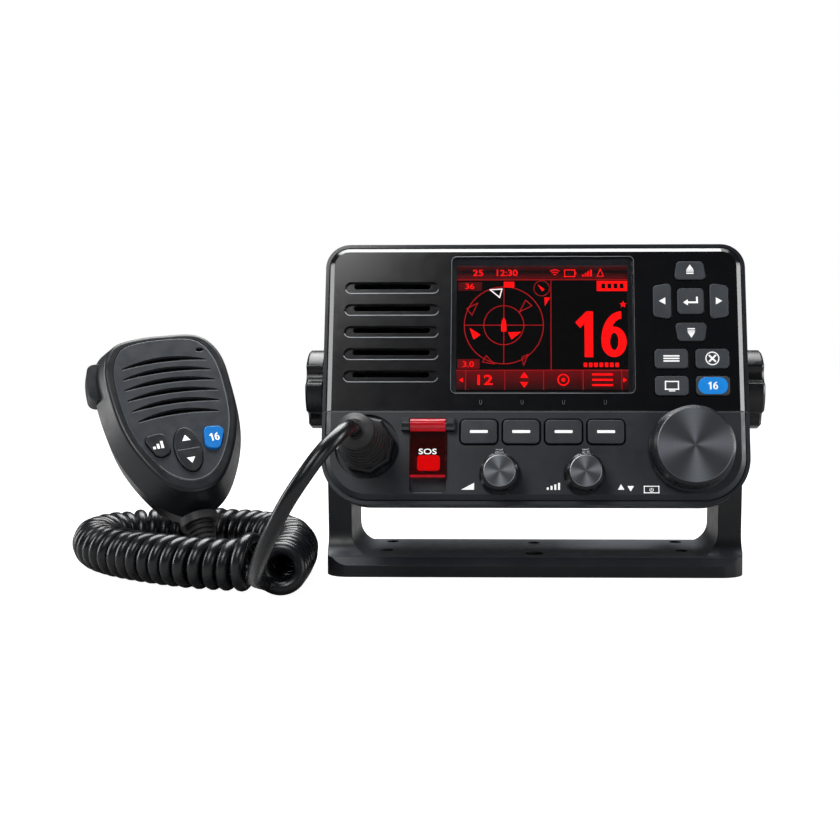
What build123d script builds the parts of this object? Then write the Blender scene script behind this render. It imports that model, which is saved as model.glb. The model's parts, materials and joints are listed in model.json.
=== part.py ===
from build123d import *
import os
from math import cos, pi, radians, sin, tan

os.makedirs("parts", exist_ok=True)

# Bracket-mounted VHF marine radio with its hand microphone and curly cord, in millimetres.
# The origin lies on the underside of the bracket base, under the tilt axis, +Z up, front to -Y.

# ---- driving dimensions ----------------------------------------------------------------------

# Fits
SHAFT_FIT = 0.05  # radial running clearance of spindles and studs
KEY_FIT = 0.3  # gap round every key and knob opening
SEAT_FIT = 0.1  # gap between pieces that are screwed or clipped together
BODY_GAP = 0.3  # gap between pieces that move past each other

# Bracket
LEG_THICK = 10.0
BASE_FRONT = 27.0
BASE_BACK = 24.0
BASE_THICK = 8.0
BASE_CHAMFER = 3.0
LEG_FRONT = 13.0  # at the foot
LEG_BACK = 20.0
INNER_RADIUS = 9.0
FLARE_RADIUS = 9.0
BASE_CORNER = 10.0  # front corners, seen from above
BASE_BACK_CORNER = 4.0
LEG_TOP_RADIUS = 17.0
AXIS_HEIGHT = 78.0
MOUNT_HOLE = 5.6
MOUNT_X = 128.0
MOUNT_Y = 23.0
MOUNT_CENTRE_Y = 5.5
MIDDLE_HOLES = 28.0
MIDDLE_FRONT_HOLE = 8.0
POCKET_DEPTH = 3.0
POCKET_RIM = 5.0
RIB_THICK = 2.5
BOSS_RADIUS = 7.0

# Clamp knobs, studs and friction pads
STUD_RADIUS = 4.0
STUD_IN_CHASSIS = 8.0
KNOB_RADIUS = 17.2
KNOB_HEIGHT = 7.2
KNOB_LOBES = 5
GRIP_RADIUS = 4.2  # finger grooves between the lobes
GRIP_DEPTH = 2.8
GRIP_START = 6.0  # first groove ahead of the top
LOBE_EDGE = 1.4
COLLAR_RADIUS = 11.0
COLLAR_HEIGHT = 1.6
KNOB_CAP = 3.0  # knob material in front of the stud
KNOB_DISH_RADIUS = 9.0
KNOB_DISH_DEPTH = 1.0
KNOB_CHAMFER = 1.0
STUD_CHAMFER = 0.6
PAD_RADIUS = 14.0
PAD_THICK = 2.7

# Radio body: its front face leans back in the bracket
TILT = 14.0
AXIS_TO_FACE = 41.0
AXIS_RISE = 0.8  # tilt axis above the middle of the face
BODY_WIDTH = 173.0
BODY_HEIGHT = 108.4
RIM_WIDTH = 2.0
RIM_SETBACK = 2.6  # rim behind the face
RIM_DEPTH = 12.0
TOP_RADIUS = 10.0
BOTTOM_RADIUS = 19.5
FACE_CHAMFER = 2.0
GROOVE_WIDTH = 0.5
GROOVE_DEPTH = 0.8
FACE_WALL = 3.6
PLATE_THICK = 2.2  # gloss plate let into the upper face
PLATE_BOTTOM = -16.4
SIDE_WALL = 3.0
LEDGE = 2.6  # step that the seal lies on
BOARD_FRONT = 10.0  # logic board behind the face
BOARD_THICK = 1.6
BOARD_GAP = 0.2
BOARD_EDGE = 1.0  # board inside the cavity
MAIN_STAND = 3.0  # main board off the chassis

# Chassis
CHASSIS_INSET = 11.0  # chassis sides inside the bezel's
CHASSIS_RISE = 5.7  # chassis top and bottom inside the bezel's
CHASSIS_RADIUS = 8.0
CHASSIS_DEPTH = 48.0
CHASSIS_WALL = 3.0
FLANGE_THICK = 2.0
SEAL_THICK = 0.8
SEAL_WIDTH = 2.0
FIN_THICK = 2.5
FIN_PITCH = 9.0
FIN_DEPTH = 22.0
FIN_RISE = 6.5  # fins inside the chassis top and bottom
FIN_EDGE = 7.5  # first fin from the chassis side
STUD_BOSS_RADIUS = 12.0
STUD_BOSS_DEPTH = 10.0

# Display
SCREEN_X = 2.9
SCREEN_Y = 18.0
SCREEN_WIDTH = 70.1
SCREEN_HEIGHT = 52.6
WINDOW_WIDTH = 74.3
WINDOW_HEIGHT = 56.6
WINDOW_RISE = 1.2  # window centre above the screen centre
WINDOW_RADIUS = 1.8
WINDOW_THICK = 1.4
MODULE_BORDER = 3.2
MODULE_THICK = 3.4

# Speaker
SPEAKER_EDGE = 27.8  # from the left side of the body
SPEAKER_Y = 16.5
SLOT_COUNT = 5
SLOT_LENGTH = 38.4
SLOT_HEIGHT = 4.6
SLOT_PITCH = 9.28
SLOT_MOUTH_LENGTH = 31.5
SLOT_MOUTH_HEIGHT = 2.3
SLOT_MOUTH_RISE = 0.85  # mouth above the middle of its recess
SLOT_RECESS = 1.4
SPEAKER_RADIUS = 20.5
SPEAKER_DEPTH = 9.0
MAGNET_RADIUS = 10.0
MAGNET_DEPTH = 4.0
CONE_DEPTH = 5.0
SURROUND_WIDTH = 2.0  # flat rim round the cone
SURROUND_DEPTH = 0.8
BASKET_EDGE = 1.5

# Keys, all as centre x, centre y, width, height
KEY_PROUD = 1.0
KEY_TRAVEL = 0.6
KEY_FLANGE = 0.9
KEY_FLANGE_THICK = 1.2
KEY_EDGE = 0.35
CROSS_EDGE = 23.15  # from the right side of the body
CROSS_Y = 29.0
CROSS_REACH_X = 11.55
CROSS_REACH_Y = 12.9
ENTER_SIZE = 10.8
ARROW_WIDTH = 7.5
ARROW_HEIGHT = 15.2
CHANNEL_WIDTH = 13.2
CHANNEL_HEIGHT = 7.6
KEY_SLIMMING = 1.2
KEY_RADIUS = 1.7
LOWER_KEY_X = 8.25
LOWER_KEY_Y = 5.0
LOWER_KEY_PITCH = 11.2
LOWER_KEY_WIDTH = 13.6
LOWER_KEY_HEIGHT = 8.0
SOFT_Y = -25.0
SOFT_PITCH = 17.0
SOFT_WIDTH = 14.6
SOFT_HEIGHT = 9.6
SOFT_COUNT = 4
MAT_SHEET = 1.0
MAT_BOSS_INSET = 1.5  # mat bosses inside the key outlines

# Knobs on the face
SMALL_KNOB_Y = -42.4
VOLUME_X = -14.1
SQUELCH_X = 19.6
SMALL_KNOB_RADIUS = 7.3
SMALL_SKIRT_RADIUS = 8.2
SMALL_KNOB_HEIGHT = 13.0
SMALL_SKIRT_HEIGHT = 1.6
SMALL_KNOB_FOOT = 3.2  # where the skirt meets the grip
SMALL_KNOB_DRAFT = 0.2
SMALL_KNOB_EDGE = 0.8
POINTER_DROP = 0.4  # pointer below the knob's end
SMALL_SPINDLE_RADIUS = 3.0
POT_SIZE = 11.0
POT_DEPTH = 5.6
BUSH_RADIUS = 4.4
BUSH_FRONT = 0.4  # bush ends behind the face
POT_FORWARD = 1.0  # pots and encoder ahead of the logic board's front
DIAL_EDGE = 24.2  # from the right side of the body
DIAL_Y = -32.2
DIAL_BASE_RADIUS = 17.2
DIAL_RADIUS = 16.4
DIAL_FACE_RADIUS = 14.9
DIAL_HEIGHT = 13.5
DIAL_BASE_HEIGHT = 1.4
DIAL_STEP = 2.2  # where the grip starts, above the dial's back
DIAL_DRAFT = 0.4
DIAL_EDGE_DROP = 1.2
DIAL_HOLLOW = 0.4  # turned face hollow in the middle
DIAL_CAP = 3.0  # dial material in front of the spindle
DIAL_SPINDLE_RADIUS = 3.4
ENCODER_SIZE = 13.0
DIAL_PUSH = 0.8
KNOB_STANDOFF = 1.1  # knob skirts ahead of the face
POINTER_WIDTH = 3.2  # at its tip
POINTER_ROOT_WIDTH = 5.6
POINTER_ROOT = 5.6
POINTER_REACH = 8.7

# Distress switch
DISTRESS_EDGE = 43.5  # from the left side of the body
WELL_WIDTH = 14.8
WELL_TOP = -19.4
WELL_BOTTOM = -49.4
WELL_DEPTH = 3.2
WELL_BACKING = 1.6
WELL_RADIUS = 1.2
HINGE_Y = -22.2
HINGE_RADIUS = 2.5
HINGE_PROUD = 0.9
PIN_RADIUS = 0.8
EAR_WIDTH = 3.4
COVER_BOTTOM = -43.6
COVER_THICK = 1.6
COVER_BACK = 0.6
LIP_HEIGHT = 2.4
LIP_BACK = 1.2
DISTRESS_BUTTON_WIDTH = 8.6
DISTRESS_BUTTON_HEIGHT = 5.8
DISTRESS_BUTTON_Y = -37.2
DISTRESS_BUTTON_RADIUS = 1.0
DISTRESS_TRAVEL = 0.8
DISTRESS_BUTTON_PROUD = 1.7  # above the floor of the well

# Microphone socket, plug and boot
SOCKET_EDGE = 18.8  # from the left side of the body
SOCKET_Y = -30.9
SOCKET_RECESS_RADIUS = 13.0
SOCKET_RECESS_DEPTH = 2.4
SOCKET_BACKING = 2.6
SOCKET_BARREL_RADIUS = 8.0
SOCKET_FLANGE_RADIUS = 11.0
SOCKET_FLANGE_THICK = 2.0
SOCKET_REACH = 3.0  # barrel ahead of the face
NUT_FLATS = 21.6
NUT_SIDES = 8
NUT_HEIGHT = 9.0
NUT_BACK = -2.0
NUT_TURN = 11.0  # degrees
NUT_CHAMFER = 0.9
BOOT_LENGTH = 34.0
BOOT_BASE_RADIUS = 9.8
BOOT_TIP_RADIUS = 6.8
BOOT_RIBS = 6
RIB_GROOVE = 0.7
BOOT_DOME = 2.6
BOOT_LIP = 1.2  # flat end of the boot round the cord

# Sockets and glands at the back
SOCKETS_EDGE = 17.5  # antenna socket and glands from the chassis side
SOCKETS_FIELD = 58.0  # back left free of fins for them
ANTENNA_Y = 24.0
ANTENNA_RADIUS = 7.94
ANTENNA_BORE = 6.2
ANTENNA_LENGTH = 18.0
ANTENNA_FLANGE_RADIUS = 10.5
ANTENNA_FLANGE = 3.0
ANTENNA_CONTACT = 2.0
GLAND_Y = -20.0
GLAND_PITCH = 18.0
GLAND_RADIUS = 7.0
GLAND_LENGTH = 14.0
GLAND_BORE = 3.0
GLAND_STEM = 4.5  # stem through the chassis wall
GLAND_TAPER = 6.0  # degrees

# Case screws
SCREW_EDGE = 6.9  # screws inside the bezel's sides
SCREW_RISE = 9.6  # upper screws below the top of the body
SCREW_FOOT = 14.2  # lower screws above its bottom, clear of the larger corners
SCREW_RADIUS = 1.5
SCREW_HEAD_RADIUS = 2.8
SCREW_HEAD = 1.6
SCREW_LENGTH = 7.0
POST_RADIUS = 3.2
BOARD_POST_RADIUS = 1.7
BOARD_POST_TOP = 40.0
BOARD_POST_DROP = 3.0  # lower post below the small knobs
MODULE_CLEAR = 1.2  # posts moved away from the display module

# Cord
CORD_RADIUS = 2.9
COIL_RADIUS = 10.5
FLOOR_GAP = 0.1

# Microphone: the frame's origin is the middle of the rocker, on the front panel
MIC_AT = (-147.1, -19.8, 53.1)
MIC_TURN = 24.6
MIC_LEAN = 32.2
MIC_ROLL = 7.5
MIC_TOP = 61.5
MIC_BOTTOM = -26.0
MIC_FRONT_BOTTOM = -23.5  # chin drawn in towards the front face
MIC_HALF_WIDTH = 30.2
MIC_WIDEST_Y = 33.0
MIC_FRONT_DEPTH = 13.0
MIC_REAR_DEPTH = 14.0
MIC_FRONT_INSET = 4.0  # front face inside the parting line
MIC_REAR_INSET = 3.5
MIC_EDGE = 1.8
MIC_WALL = 2.4
PANEL_TOP = 55.2
PANEL_BOTTOM = -14.4
PANEL_HALF_WIDTH = 23.0
PANEL_WIDEST_Y = 30.0
PANEL_THICK = 1.6
PANEL_LEDGE = 2.0  # step in the front case that the panel lies on
GRILLE_TOP = 44.2
GRILLE_PITCH = 5.25
GRILLE_HALF_LENGTHS = (18.4, 19.1, 19.7, 19.6, 18.8, 17.2)
GRILLE_RISE = 1.5  # sag of the lower edge of a slot
GRILLE_SLOT = 1.9
MIC_KEY_X = 12.6
MIC_KEY_Y = 3.8
MIC_KEY_PROUD = 1.2
MIC_KEY_TRAVEL = 0.6
MIC_KEY_FLANGE = 0.5
MIC_KEY_RADIUS = 2.6
MIC_KEY_CORNERS = ((5.4, 4.6), (-4.0, 5.7), (-5.4, -4.4), (0.6, -6.0))  # outer ones first
ROCKER_HALF_WIDTH = 5.7
ROCKER_HALF_HEIGHT = 10.5
ROCKER_PROUD = 1.0
ROCKER_PIN = 0.8
ROCKER_PIN_REACH = 0.7  # pivot stubs under the panel, beyond the rocker
ROCKER_PIVOT = 2.6  # pivot behind the panel's face
MIC_EAR_X = 16.8
MIC_EAR_Y = 48.0
MIC_EAR_WIDTH = 3.6
MIC_EAR_HEIGHT = 2.0
MIC_SPEAKER_RADIUS = 16.0
MIC_SPEAKER_DEPTH = 5.0
MIC_BOARD_THICK = 1.6
MIC_BOARD_GAP = 0.8
MIC_RISER_WIDTH = 24.0
MIC_RISER_HEIGHT = 16.0
PTT_Y = 43.0
PTT_LENGTH = 18.0
PTT_THICK = 8.0
PTT_PROUD = 2.6
PTT_TRAVEL = 1.5
PTT_INSIDE = 5.0
PTT_CORNER = 3.5
HANGER_Y = 24.0
HANGER_RADIUS = 7.0
HANGER_NECK_RADIUS = 3.6
HANGER_NECK = 3.0
HANGER_HEAD = 2.6
HANGER_CHAMFER = 0.8
MIC_SCREW_X = 17.0
MIC_SCREW_TOP = 46.0
MIC_SCREW_BOTTOM = -4.0
MIC_SCREW_RADIUS = 2.6
MIC_SCREW_RECESS = 1.4
MIC_SCREW_HEAD = 1.0
MIC_BOOT_LENGTH = 11.0
MIC_BOOT_COLLAR = 3.6  # smooth collar next to the case
MIC_BOOT_COLLAR_RADIUS = 8.2
MIC_BOOT_WIDE = 6.4
MIC_BOOT_SLIM = 4.8
MIC_BOOT_RIBS = 3

# ---- planes and profiles -----------------------------------------------------------------------

OUTWARD = Vector(0, -cos(radians(TILT)), sin(radians(TILT)))
UPWARD = Vector(0, sin(radians(TILT)), cos(radians(TILT)))
AXIS_POINT = Vector(0, 0, AXIS_HEIGHT)
FACE_ORIGIN = AXIS_POINT + OUTWARD * AXIS_TO_FACE - UPWARD * AXIS_RISE
FACE = Plane(origin=FACE_ORIGIN, x_dir=(1, 0, 0), z_dir=OUTWARD)

CHASSIS_WIDTH = BODY_WIDTH - 2 * CHASSIS_INSET
CHASSIS_HEIGHT = BODY_HEIGHT - 2 * CHASSIS_RISE
FIN_HEIGHT = CHASSIS_HEIGHT - 2 * FIN_RISE
SPEAKER_X = SPEAKER_EDGE - BODY_WIDTH / 2
SOCKET_X = SOCKET_EDGE - BODY_WIDTH / 2
DISTRESS_X = DISTRESS_EDGE - BODY_WIDTH / 2
CROSS_X = BODY_WIDTH / 2 - CROSS_EDGE
DIAL_X = BODY_WIDTH / 2 - DIAL_EDGE
SCREW_TOP_Y = BODY_HEIGHT / 2 - SCREW_RISE
SCREW_BOTTOM_Y = SCREW_FOOT - BODY_HEIGHT / 2
LEG_GAP = CHASSIS_WIDTH + 2 * (PAD_THICK + BODY_GAP)
LEG_OUTER_X = LEG_GAP / 2 + LEG_THICK
SCREW_X = BODY_WIDTH / 2 - SCREW_EDGE
ANTENNA_X = CHASSIS_WIDTH / 2 - SOCKETS_EDGE
GLAND_X = ANTENNA_X
FIN_START_X = -CHASSIS_WIDTH / 2 + FIN_EDGE
FIN_COUNT = int((CHASSIS_WIDTH - FIN_EDGE - SOCKETS_FIELD) // FIN_PITCH) + 1
BASE_DEPTH = BASE_FRONT + BASE_BACK
KNOB_IN_X = LEG_OUTER_X + BODY_GAP
ISLAND_WIDTH = BODY_WIDTH - 2 * RIM_WIDTH
ISLAND_HEIGHT = BODY_HEIGHT - 2 * RIM_WIDTH
BEZEL_BACK = RIM_SETBACK + RIM_DEPTH
LEDGE_AT = BEZEL_BACK - LEDGE
FLANGE_FRONT = LEDGE_AT + SEAL_THICK
FLANGE_BACK = FLANGE_FRONT + FLANGE_THICK
CHASSIS_BACK = FLANGE_BACK + CHASSIS_DEPTH
CAVITY_WIDTH = ISLAND_WIDTH - 2 * SIDE_WALL
CAVITY_HEIGHT = ISLAND_HEIGHT - 2 * SIDE_WALL
SCREEN_FRONT = FACE_WALL + SEAT_FIT


def face_point(x, y, out):
    """World position of a point of the radio, given from the middle of its face."""
    return FACE_ORIGIN + Vector(x, 0, 0) + UPWARD * y + OUTWARD * out


def turning_plane(x, y, out=0.0):
    """Plane through a face normal: its local y runs outwards, for turned pieces."""
    return Plane(origin=face_point(x, y, out), x_dir=(1, 0, 0), z_dir=UPWARD * -1)


def side_plane(side, distance):
    """Plane square to the tilt axis, facing outwards on the given side (-1 left, +1 right)."""
    origin = AXIS_POINT + Vector(side * distance, 0, 0)
    return Plane(origin=origin, x_dir=(0, side, 0), z_dir=(side, 0, 0))


def panel_outline(width, height, top_radius, bottom_radius):
    """Rectangle with one radius on its upper corners and another on its lower ones."""
    with BuildSketch() as outline:
        Rectangle(width, height)
        fillet(outline.vertices().group_by(Axis.Y)[-1], top_radius)
        fillet(outline.vertices().group_by(Axis.Y)[0], bottom_radius)
    return outline.sketch


def key_outline(width, height, radius=KEY_RADIUS, slim=None):
    """Rounded key whose named side (up, down, left or right) is a little narrower."""
    across = width / 2
    rise = height / 2
    cut = KEY_SLIMMING
    insets = {"up": (cut, 0, 0, 0), "down": (0, cut, 0, 0), "left": (0, 0, cut, 0), "right": (0, 0, 0, cut)}
    up, down, left, right = insets.get(slim, (0, 0, 0, 0))
    corners = [
        (-across + up, rise - left),
        (across - up, rise - right),
        (across - down, -rise + right),
        (-across + down, -rise + left),
    ]
    with BuildSketch() as outline:
        Polygon(*corners, align=None)
        fillet(outline.vertices(), radius)
    return outline.sketch


def egg_outline(top, bottom, half_width, widest_y, margin=0.0):
    """Egg-shaped microphone outline: flat crown, full shoulders, narrow chin."""
    wide = half_width - margin
    crown = top - margin
    chin = bottom + margin
    upper = crown - widest_y
    lower = widest_y - chin
    right_side = [
        (0.42 * wide, crown - 0.02 * upper),
        (0.72 * wide, crown - 0.11 * upper),
        (0.92 * wide, crown - 0.38 * upper),
        (wide, widest_y),
        (0.91 * wide, widest_y - 0.43 * lower),
        (0.66 * wide, widest_y - 0.74 * lower),
        (0.34 * wide, widest_y - 0.94 * lower),
    ]
    left_side = [(-x, y) for x, y in reversed(right_side)]
    with BuildSketch() as outline:
        with BuildLine():
            Spline((0, crown), *right_side, (0, chin), *left_side, periodic=True)
        make_face()
    return outline.sketch


def ribbed_profile(base_radius, tip_radius, length, ribs, start):
    """Half profile of a ribbed cone, as points (radius, distance out)."""
    points = [(0, start), (base_radius, start)]
    pitch = length / (ribs + 0.5)
    for rib in range(ribs):
        low = start + pitch * (rib + 0.5)
        high = low + pitch * 0.5
        low_radius = base_radius + (tip_radius - base_radius) * (low - start) / length
        high_radius = base_radius + (tip_radius - base_radius) * (high - start) / length
        points += [(low_radius, low), (low_radius - RIB_GROOVE, low)]
        points += [(high_radius - RIB_GROOVE, high), (high_radius, high)]
    points += [(tip_radius, start + length)]
    return points


# ---- bracket -----------------------------------------------------------------------------------

mount_points = [
    (side * MOUNT_X / 2, MOUNT_CENTRE_Y + end * MOUNT_Y / 2) for side in (-1, 1) for end in (-1, 1)
]
middle_back = (0, MIDDLE_HOLES / 2)
middle_front = (0, -MIDDLE_HOLES / 2)

with BuildPart() as bracket:
    with BuildSketch(Plane.XZ.offset(-BASE_BACK)):
        Rectangle(2 * LEG_OUTER_X, AXIS_HEIGHT + LEG_TOP_RADIUS, align=(Align.CENTER, Align.MIN))
        with Locations((0, BASE_THICK)):
            RectangleRounded(
                LEG_GAP,
                2 * AXIS_HEIGHT,
                INNER_RADIUS,
                align=(Align.CENTER, Align.MIN),
                mode=Mode.SUBTRACT,
            )
    extrude(amount=BASE_DEPTH)
    with BuildSketch(Plane.YZ.offset(-LEG_OUTER_X)) as leg_side:
        with BuildLine():
            Polyline(
                (-BASE_FRONT, 0),
                (BASE_BACK, 0),
                (BASE_BACK, BASE_THICK),
                (LEG_BACK, BASE_THICK),
                (LEG_TOP_RADIUS, AXIS_HEIGHT),
                (-LEG_TOP_RADIUS, AXIS_HEIGHT),
                (-LEG_FRONT, BASE_THICK),
                (-BASE_FRONT + BASE_CHAMFER, BASE_THICK),
                (-BASE_FRONT, BASE_THICK - BASE_CHAMFER),
                close=True,
            )
        make_face()
        fillet(leg_side.vertices().sort_by_distance((-LEG_FRONT, BASE_THICK))[0], FLARE_RADIUS)
        with Locations((0, AXIS_HEIGHT)):
            Circle(LEG_TOP_RADIUS)
    extrude(amount=2 * LEG_OUTER_X, mode=Mode.INTERSECT)
    with BuildSketch() as base_plan:
        with Locations((0, (BASE_BACK - BASE_FRONT) / 2)):
            Rectangle(2 * LEG_OUTER_X, BASE_DEPTH)
        fillet(base_plan.vertices().group_by(Axis.Y)[0], BASE_CORNER)
        fillet(base_plan.vertices().group_by(Axis.Y)[-1], BASE_BACK_CORNER)
    extrude(amount=AXIS_HEIGHT + LEG_TOP_RADIUS, mode=Mode.INTERSECT)
    with BuildSketch():
        with Locations((0, (BASE_BACK - BASE_FRONT) / 2)):
            Rectangle(2 * (LEG_OUTER_X - POCKET_RIM), BASE_DEPTH - 2 * POCKET_RIM)
        with Locations(*mount_points, middle_back, middle_front):
            Circle(BOSS_RADIUS, mode=Mode.SUBTRACT)
        with Locations(*[(side * MOUNT_X / 4, 0) for side in (-1, 0, 1)]):
            Rectangle(RIB_THICK, 2 * BASE_DEPTH, mode=Mode.SUBTRACT)
        Rectangle(2 * LEG_OUTER_X, RIB_THICK, mode=Mode.SUBTRACT)
    extrude(amount=POCKET_DEPTH, mode=Mode.SUBTRACT)
    with BuildSketch():
        with Locations(*mount_points, middle_back):
            Circle(MOUNT_HOLE / 2)
        with Locations(middle_front):
            Circle(MIDDLE_FRONT_HOLE / 2)
    extrude(amount=BASE_THICK, mode=Mode.SUBTRACT)
    with BuildSketch(side_plane(-1, LEG_OUTER_X)):
        Circle(STUD_RADIUS + SHAFT_FIT)
    extrude(amount=-2 * LEG_OUTER_X, mode=Mode.SUBTRACT)
bracket.part.label = "bracket"
export_step(bracket.part, "parts/bracket.step")


# ---- clamp knobs, studs and friction pads --------------------------------------------------------

STUD_START_X = CHASSIS_WIDTH / 2 - STUD_IN_CHASSIS
KNOB_OUT_X = KNOB_IN_X + COLLAR_HEIGHT + KNOB_HEIGHT
STUD_END_X = KNOB_OUT_X - KNOB_CAP


def make_knob(side, name):
    """Lobed clamp knob with a round collar towards the bracket."""
    with BuildPart() as knob:
        with BuildSketch(side_plane(side, KNOB_IN_X)):
            Circle(COLLAR_RADIUS)
        extrude(amount=COLLAR_HEIGHT)
        with BuildSketch(side_plane(side, KNOB_IN_X + COLLAR_HEIGHT)) as lobes:
            Circle(KNOB_RADIUS)
            grip_reach = KNOB_RADIUS - GRIP_DEPTH + GRIP_RADIUS
            with PolarLocations(grip_reach, KNOB_LOBES, start_angle=90 - side * GRIP_START):
                Circle(GRIP_RADIUS, mode=Mode.SUBTRACT)
            fillet(lobes.vertices(), LOBE_EDGE)
        extrude(amount=KNOB_HEIGHT)
        chamfer(knob.faces().sort_by(Axis.X)[-1 if side > 0 else 0].edges(), KNOB_CHAMFER)
        with BuildSketch(side_plane(side, KNOB_OUT_X)):
            Circle(KNOB_DISH_RADIUS)
        extrude(amount=-KNOB_DISH_DEPTH, mode=Mode.SUBTRACT)
        with BuildSketch(side_plane(side, KNOB_IN_X)):
            Circle(STUD_RADIUS + SHAFT_FIT)
        extrude(amount=STUD_END_X - KNOB_IN_X, mode=Mode.SUBTRACT)
    knob.part.label = name
    export_step(knob.part, f"parts/{name}.step")


def make_stud(side, name):
    """Steel stud from the chassis boss to the inside of the knob."""
    with BuildPart() as stud:
        with BuildSketch(side_plane(side, STUD_START_X)):
            Circle(STUD_RADIUS)
        extrude(amount=STUD_END_X - STUD_START_X)
        chamfer(stud.faces().sort_by(Axis.X)[0 if side > 0 else -1].edges(), STUD_CHAMFER)
    stud.part.label = name
    export_step(stud.part, f"parts/{name}.step")


for knob_side, side_name in ((-1, "left"), (1, "right")):
    make_knob(knob_side, f"clamp_knob_{side_name}")
    make_stud(knob_side, f"clamp_stud_{side_name}")

with BuildPart() as friction_pads:
    for pad_side in (-1, 1):
        with BuildSketch(side_plane(pad_side, CHASSIS_WIDTH / 2)):
            Circle(PAD_RADIUS)
            Circle(STUD_RADIUS + SHAFT_FIT, mode=Mode.SUBTRACT)
        extrude(amount=PAD_THICK)
friction_pads.part.label = "friction_pads"
export_step(friction_pads.part, "parts/friction_pads.step")


# ---- keys ---------------------------------------------------------------------------------------

# name: centre x, centre y, outline
FACE_KEYS = {
    "key_up": (CROSS_X, CROSS_Y + CROSS_REACH_Y, key_outline(CHANNEL_WIDTH, CHANNEL_HEIGHT, slim="up")),
    "key_down": (CROSS_X, CROSS_Y - CROSS_REACH_Y, key_outline(CHANNEL_WIDTH, CHANNEL_HEIGHT, slim="down")),
    "key_left": (CROSS_X - CROSS_REACH_X, CROSS_Y, key_outline(ARROW_WIDTH, ARROW_HEIGHT, slim="left")),
    "key_right": (CROSS_X + CROSS_REACH_X, CROSS_Y, key_outline(ARROW_WIDTH, ARROW_HEIGHT, slim="right")),
    "key_enter": (CROSS_X, CROSS_Y, key_outline(ENTER_SIZE, ENTER_SIZE)),
}
LOWER_KEYS = ("key_menu", "key_clear", "key_display", "key_sixteen")
for index, key_name in enumerate(LOWER_KEYS):
    key_x = CROSS_X + LOWER_KEY_X * (1 if index % 2 else -1)
    key_y = LOWER_KEY_Y - LOWER_KEY_PITCH * (index // 2)
    FACE_KEYS[key_name] = (key_x, key_y, key_outline(LOWER_KEY_WIDTH, LOWER_KEY_HEIGHT))
for index in range(SOFT_COUNT):
    key_x = SCREEN_X + SOFT_PITCH * (index - (SOFT_COUNT - 1) / 2)
    FACE_KEYS[f"soft_key_{index + 1}"] = (key_x, SOFT_Y, key_outline(SOFT_WIDTH, SOFT_HEIGHT))

KEY_BACK = FACE_WALL + BODY_GAP + KEY_FLANGE_THICK


def make_face_key(name, x, y, outline):
    """Key cap that comes through the face, with a flange behind the wall that holds it in."""
    with BuildPart() as key:
        with BuildSketch(FACE.offset(-KEY_BACK)):
            with Locations((x, y)):
                add(offset(outline, amount=KEY_FLANGE, mode=Mode.PRIVATE))
        extrude(amount=KEY_FLANGE_THICK)
        with BuildSketch(FACE.offset(-KEY_BACK)):
            with Locations((x, y)):
                add(outline)
        extrude(amount=KEY_BACK + KEY_PROUD)
        fillet(key.faces().sort_by(Axis(FACE_ORIGIN, OUTWARD))[-1].edges(), KEY_EDGE)
    key.part.label = name
    export_step(key.part, f"parts/{name}.step")


for key_name, (key_x, key_y, key_shape) in FACE_KEYS.items():
    make_face_key(key_name, key_x, key_y, key_shape)


# ---- front bezel ----------------------------------------------------------------------------------

rim_outline = panel_outline(BODY_WIDTH, BODY_HEIGHT, TOP_RADIUS, BOTTOM_RADIUS)
island_outline = panel_outline(
    ISLAND_WIDTH, ISLAND_HEIGHT, TOP_RADIUS - RIM_WIDTH, BOTTOM_RADIUS - RIM_WIDTH
)
groove_outline = offset(island_outline, amount=GROOVE_WIDTH)
cavity_outline = panel_outline(
    CAVITY_WIDTH, CAVITY_HEIGHT, TOP_RADIUS - RIM_WIDTH - SIDE_WALL, BOTTOM_RADIUS - RIM_WIDTH - SIDE_WALL
)
ledge_outline = offset(cavity_outline, amount=LEDGE)
slot_centres = [
    (SPEAKER_X, SPEAKER_Y + SLOT_PITCH * (index - (SLOT_COUNT - 1) / 2)) for index in range(SLOT_COUNT)
]
mouth_centres = [(x, y + SLOT_MOUTH_RISE) for x, y in slot_centres]
screw_points = [(side * SCREW_X, y) for side in (-1, 1) for y in (SCREW_TOP_Y, SCREW_BOTTOM_Y)]
beside_screen = (SCREEN_X + SCREEN_WIDTH / 2 + CROSS_X - CROSS_REACH_X - ARROW_WIDTH / 2) / 2 + MODULE_CLEAR
board_posts = [
    (beside_screen, BOARD_POST_TOP),
    (beside_screen, 0.0),
    ((VOLUME_X + SQUELCH_X) / 2, SMALL_KNOB_Y - BOARD_POST_DROP),
    ((SQUELCH_X + DIAL_X) / 2, SMALL_KNOB_Y),
]
PLATE_TOP = ISLAND_HEIGHT / 2
PLATE_CENTRE_Y = (PLATE_TOP + PLATE_BOTTOM) / 2
PLATE_SPAN = PLATE_TOP - PLATE_BOTTOM
WELL_CENTRE_Y = (WELL_TOP + WELL_BOTTOM) / 2
WELL_HEIGHT = WELL_TOP - WELL_BOTTOM
WELL_FLOOR = WELL_DEPTH + WELL_BACKING

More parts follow.
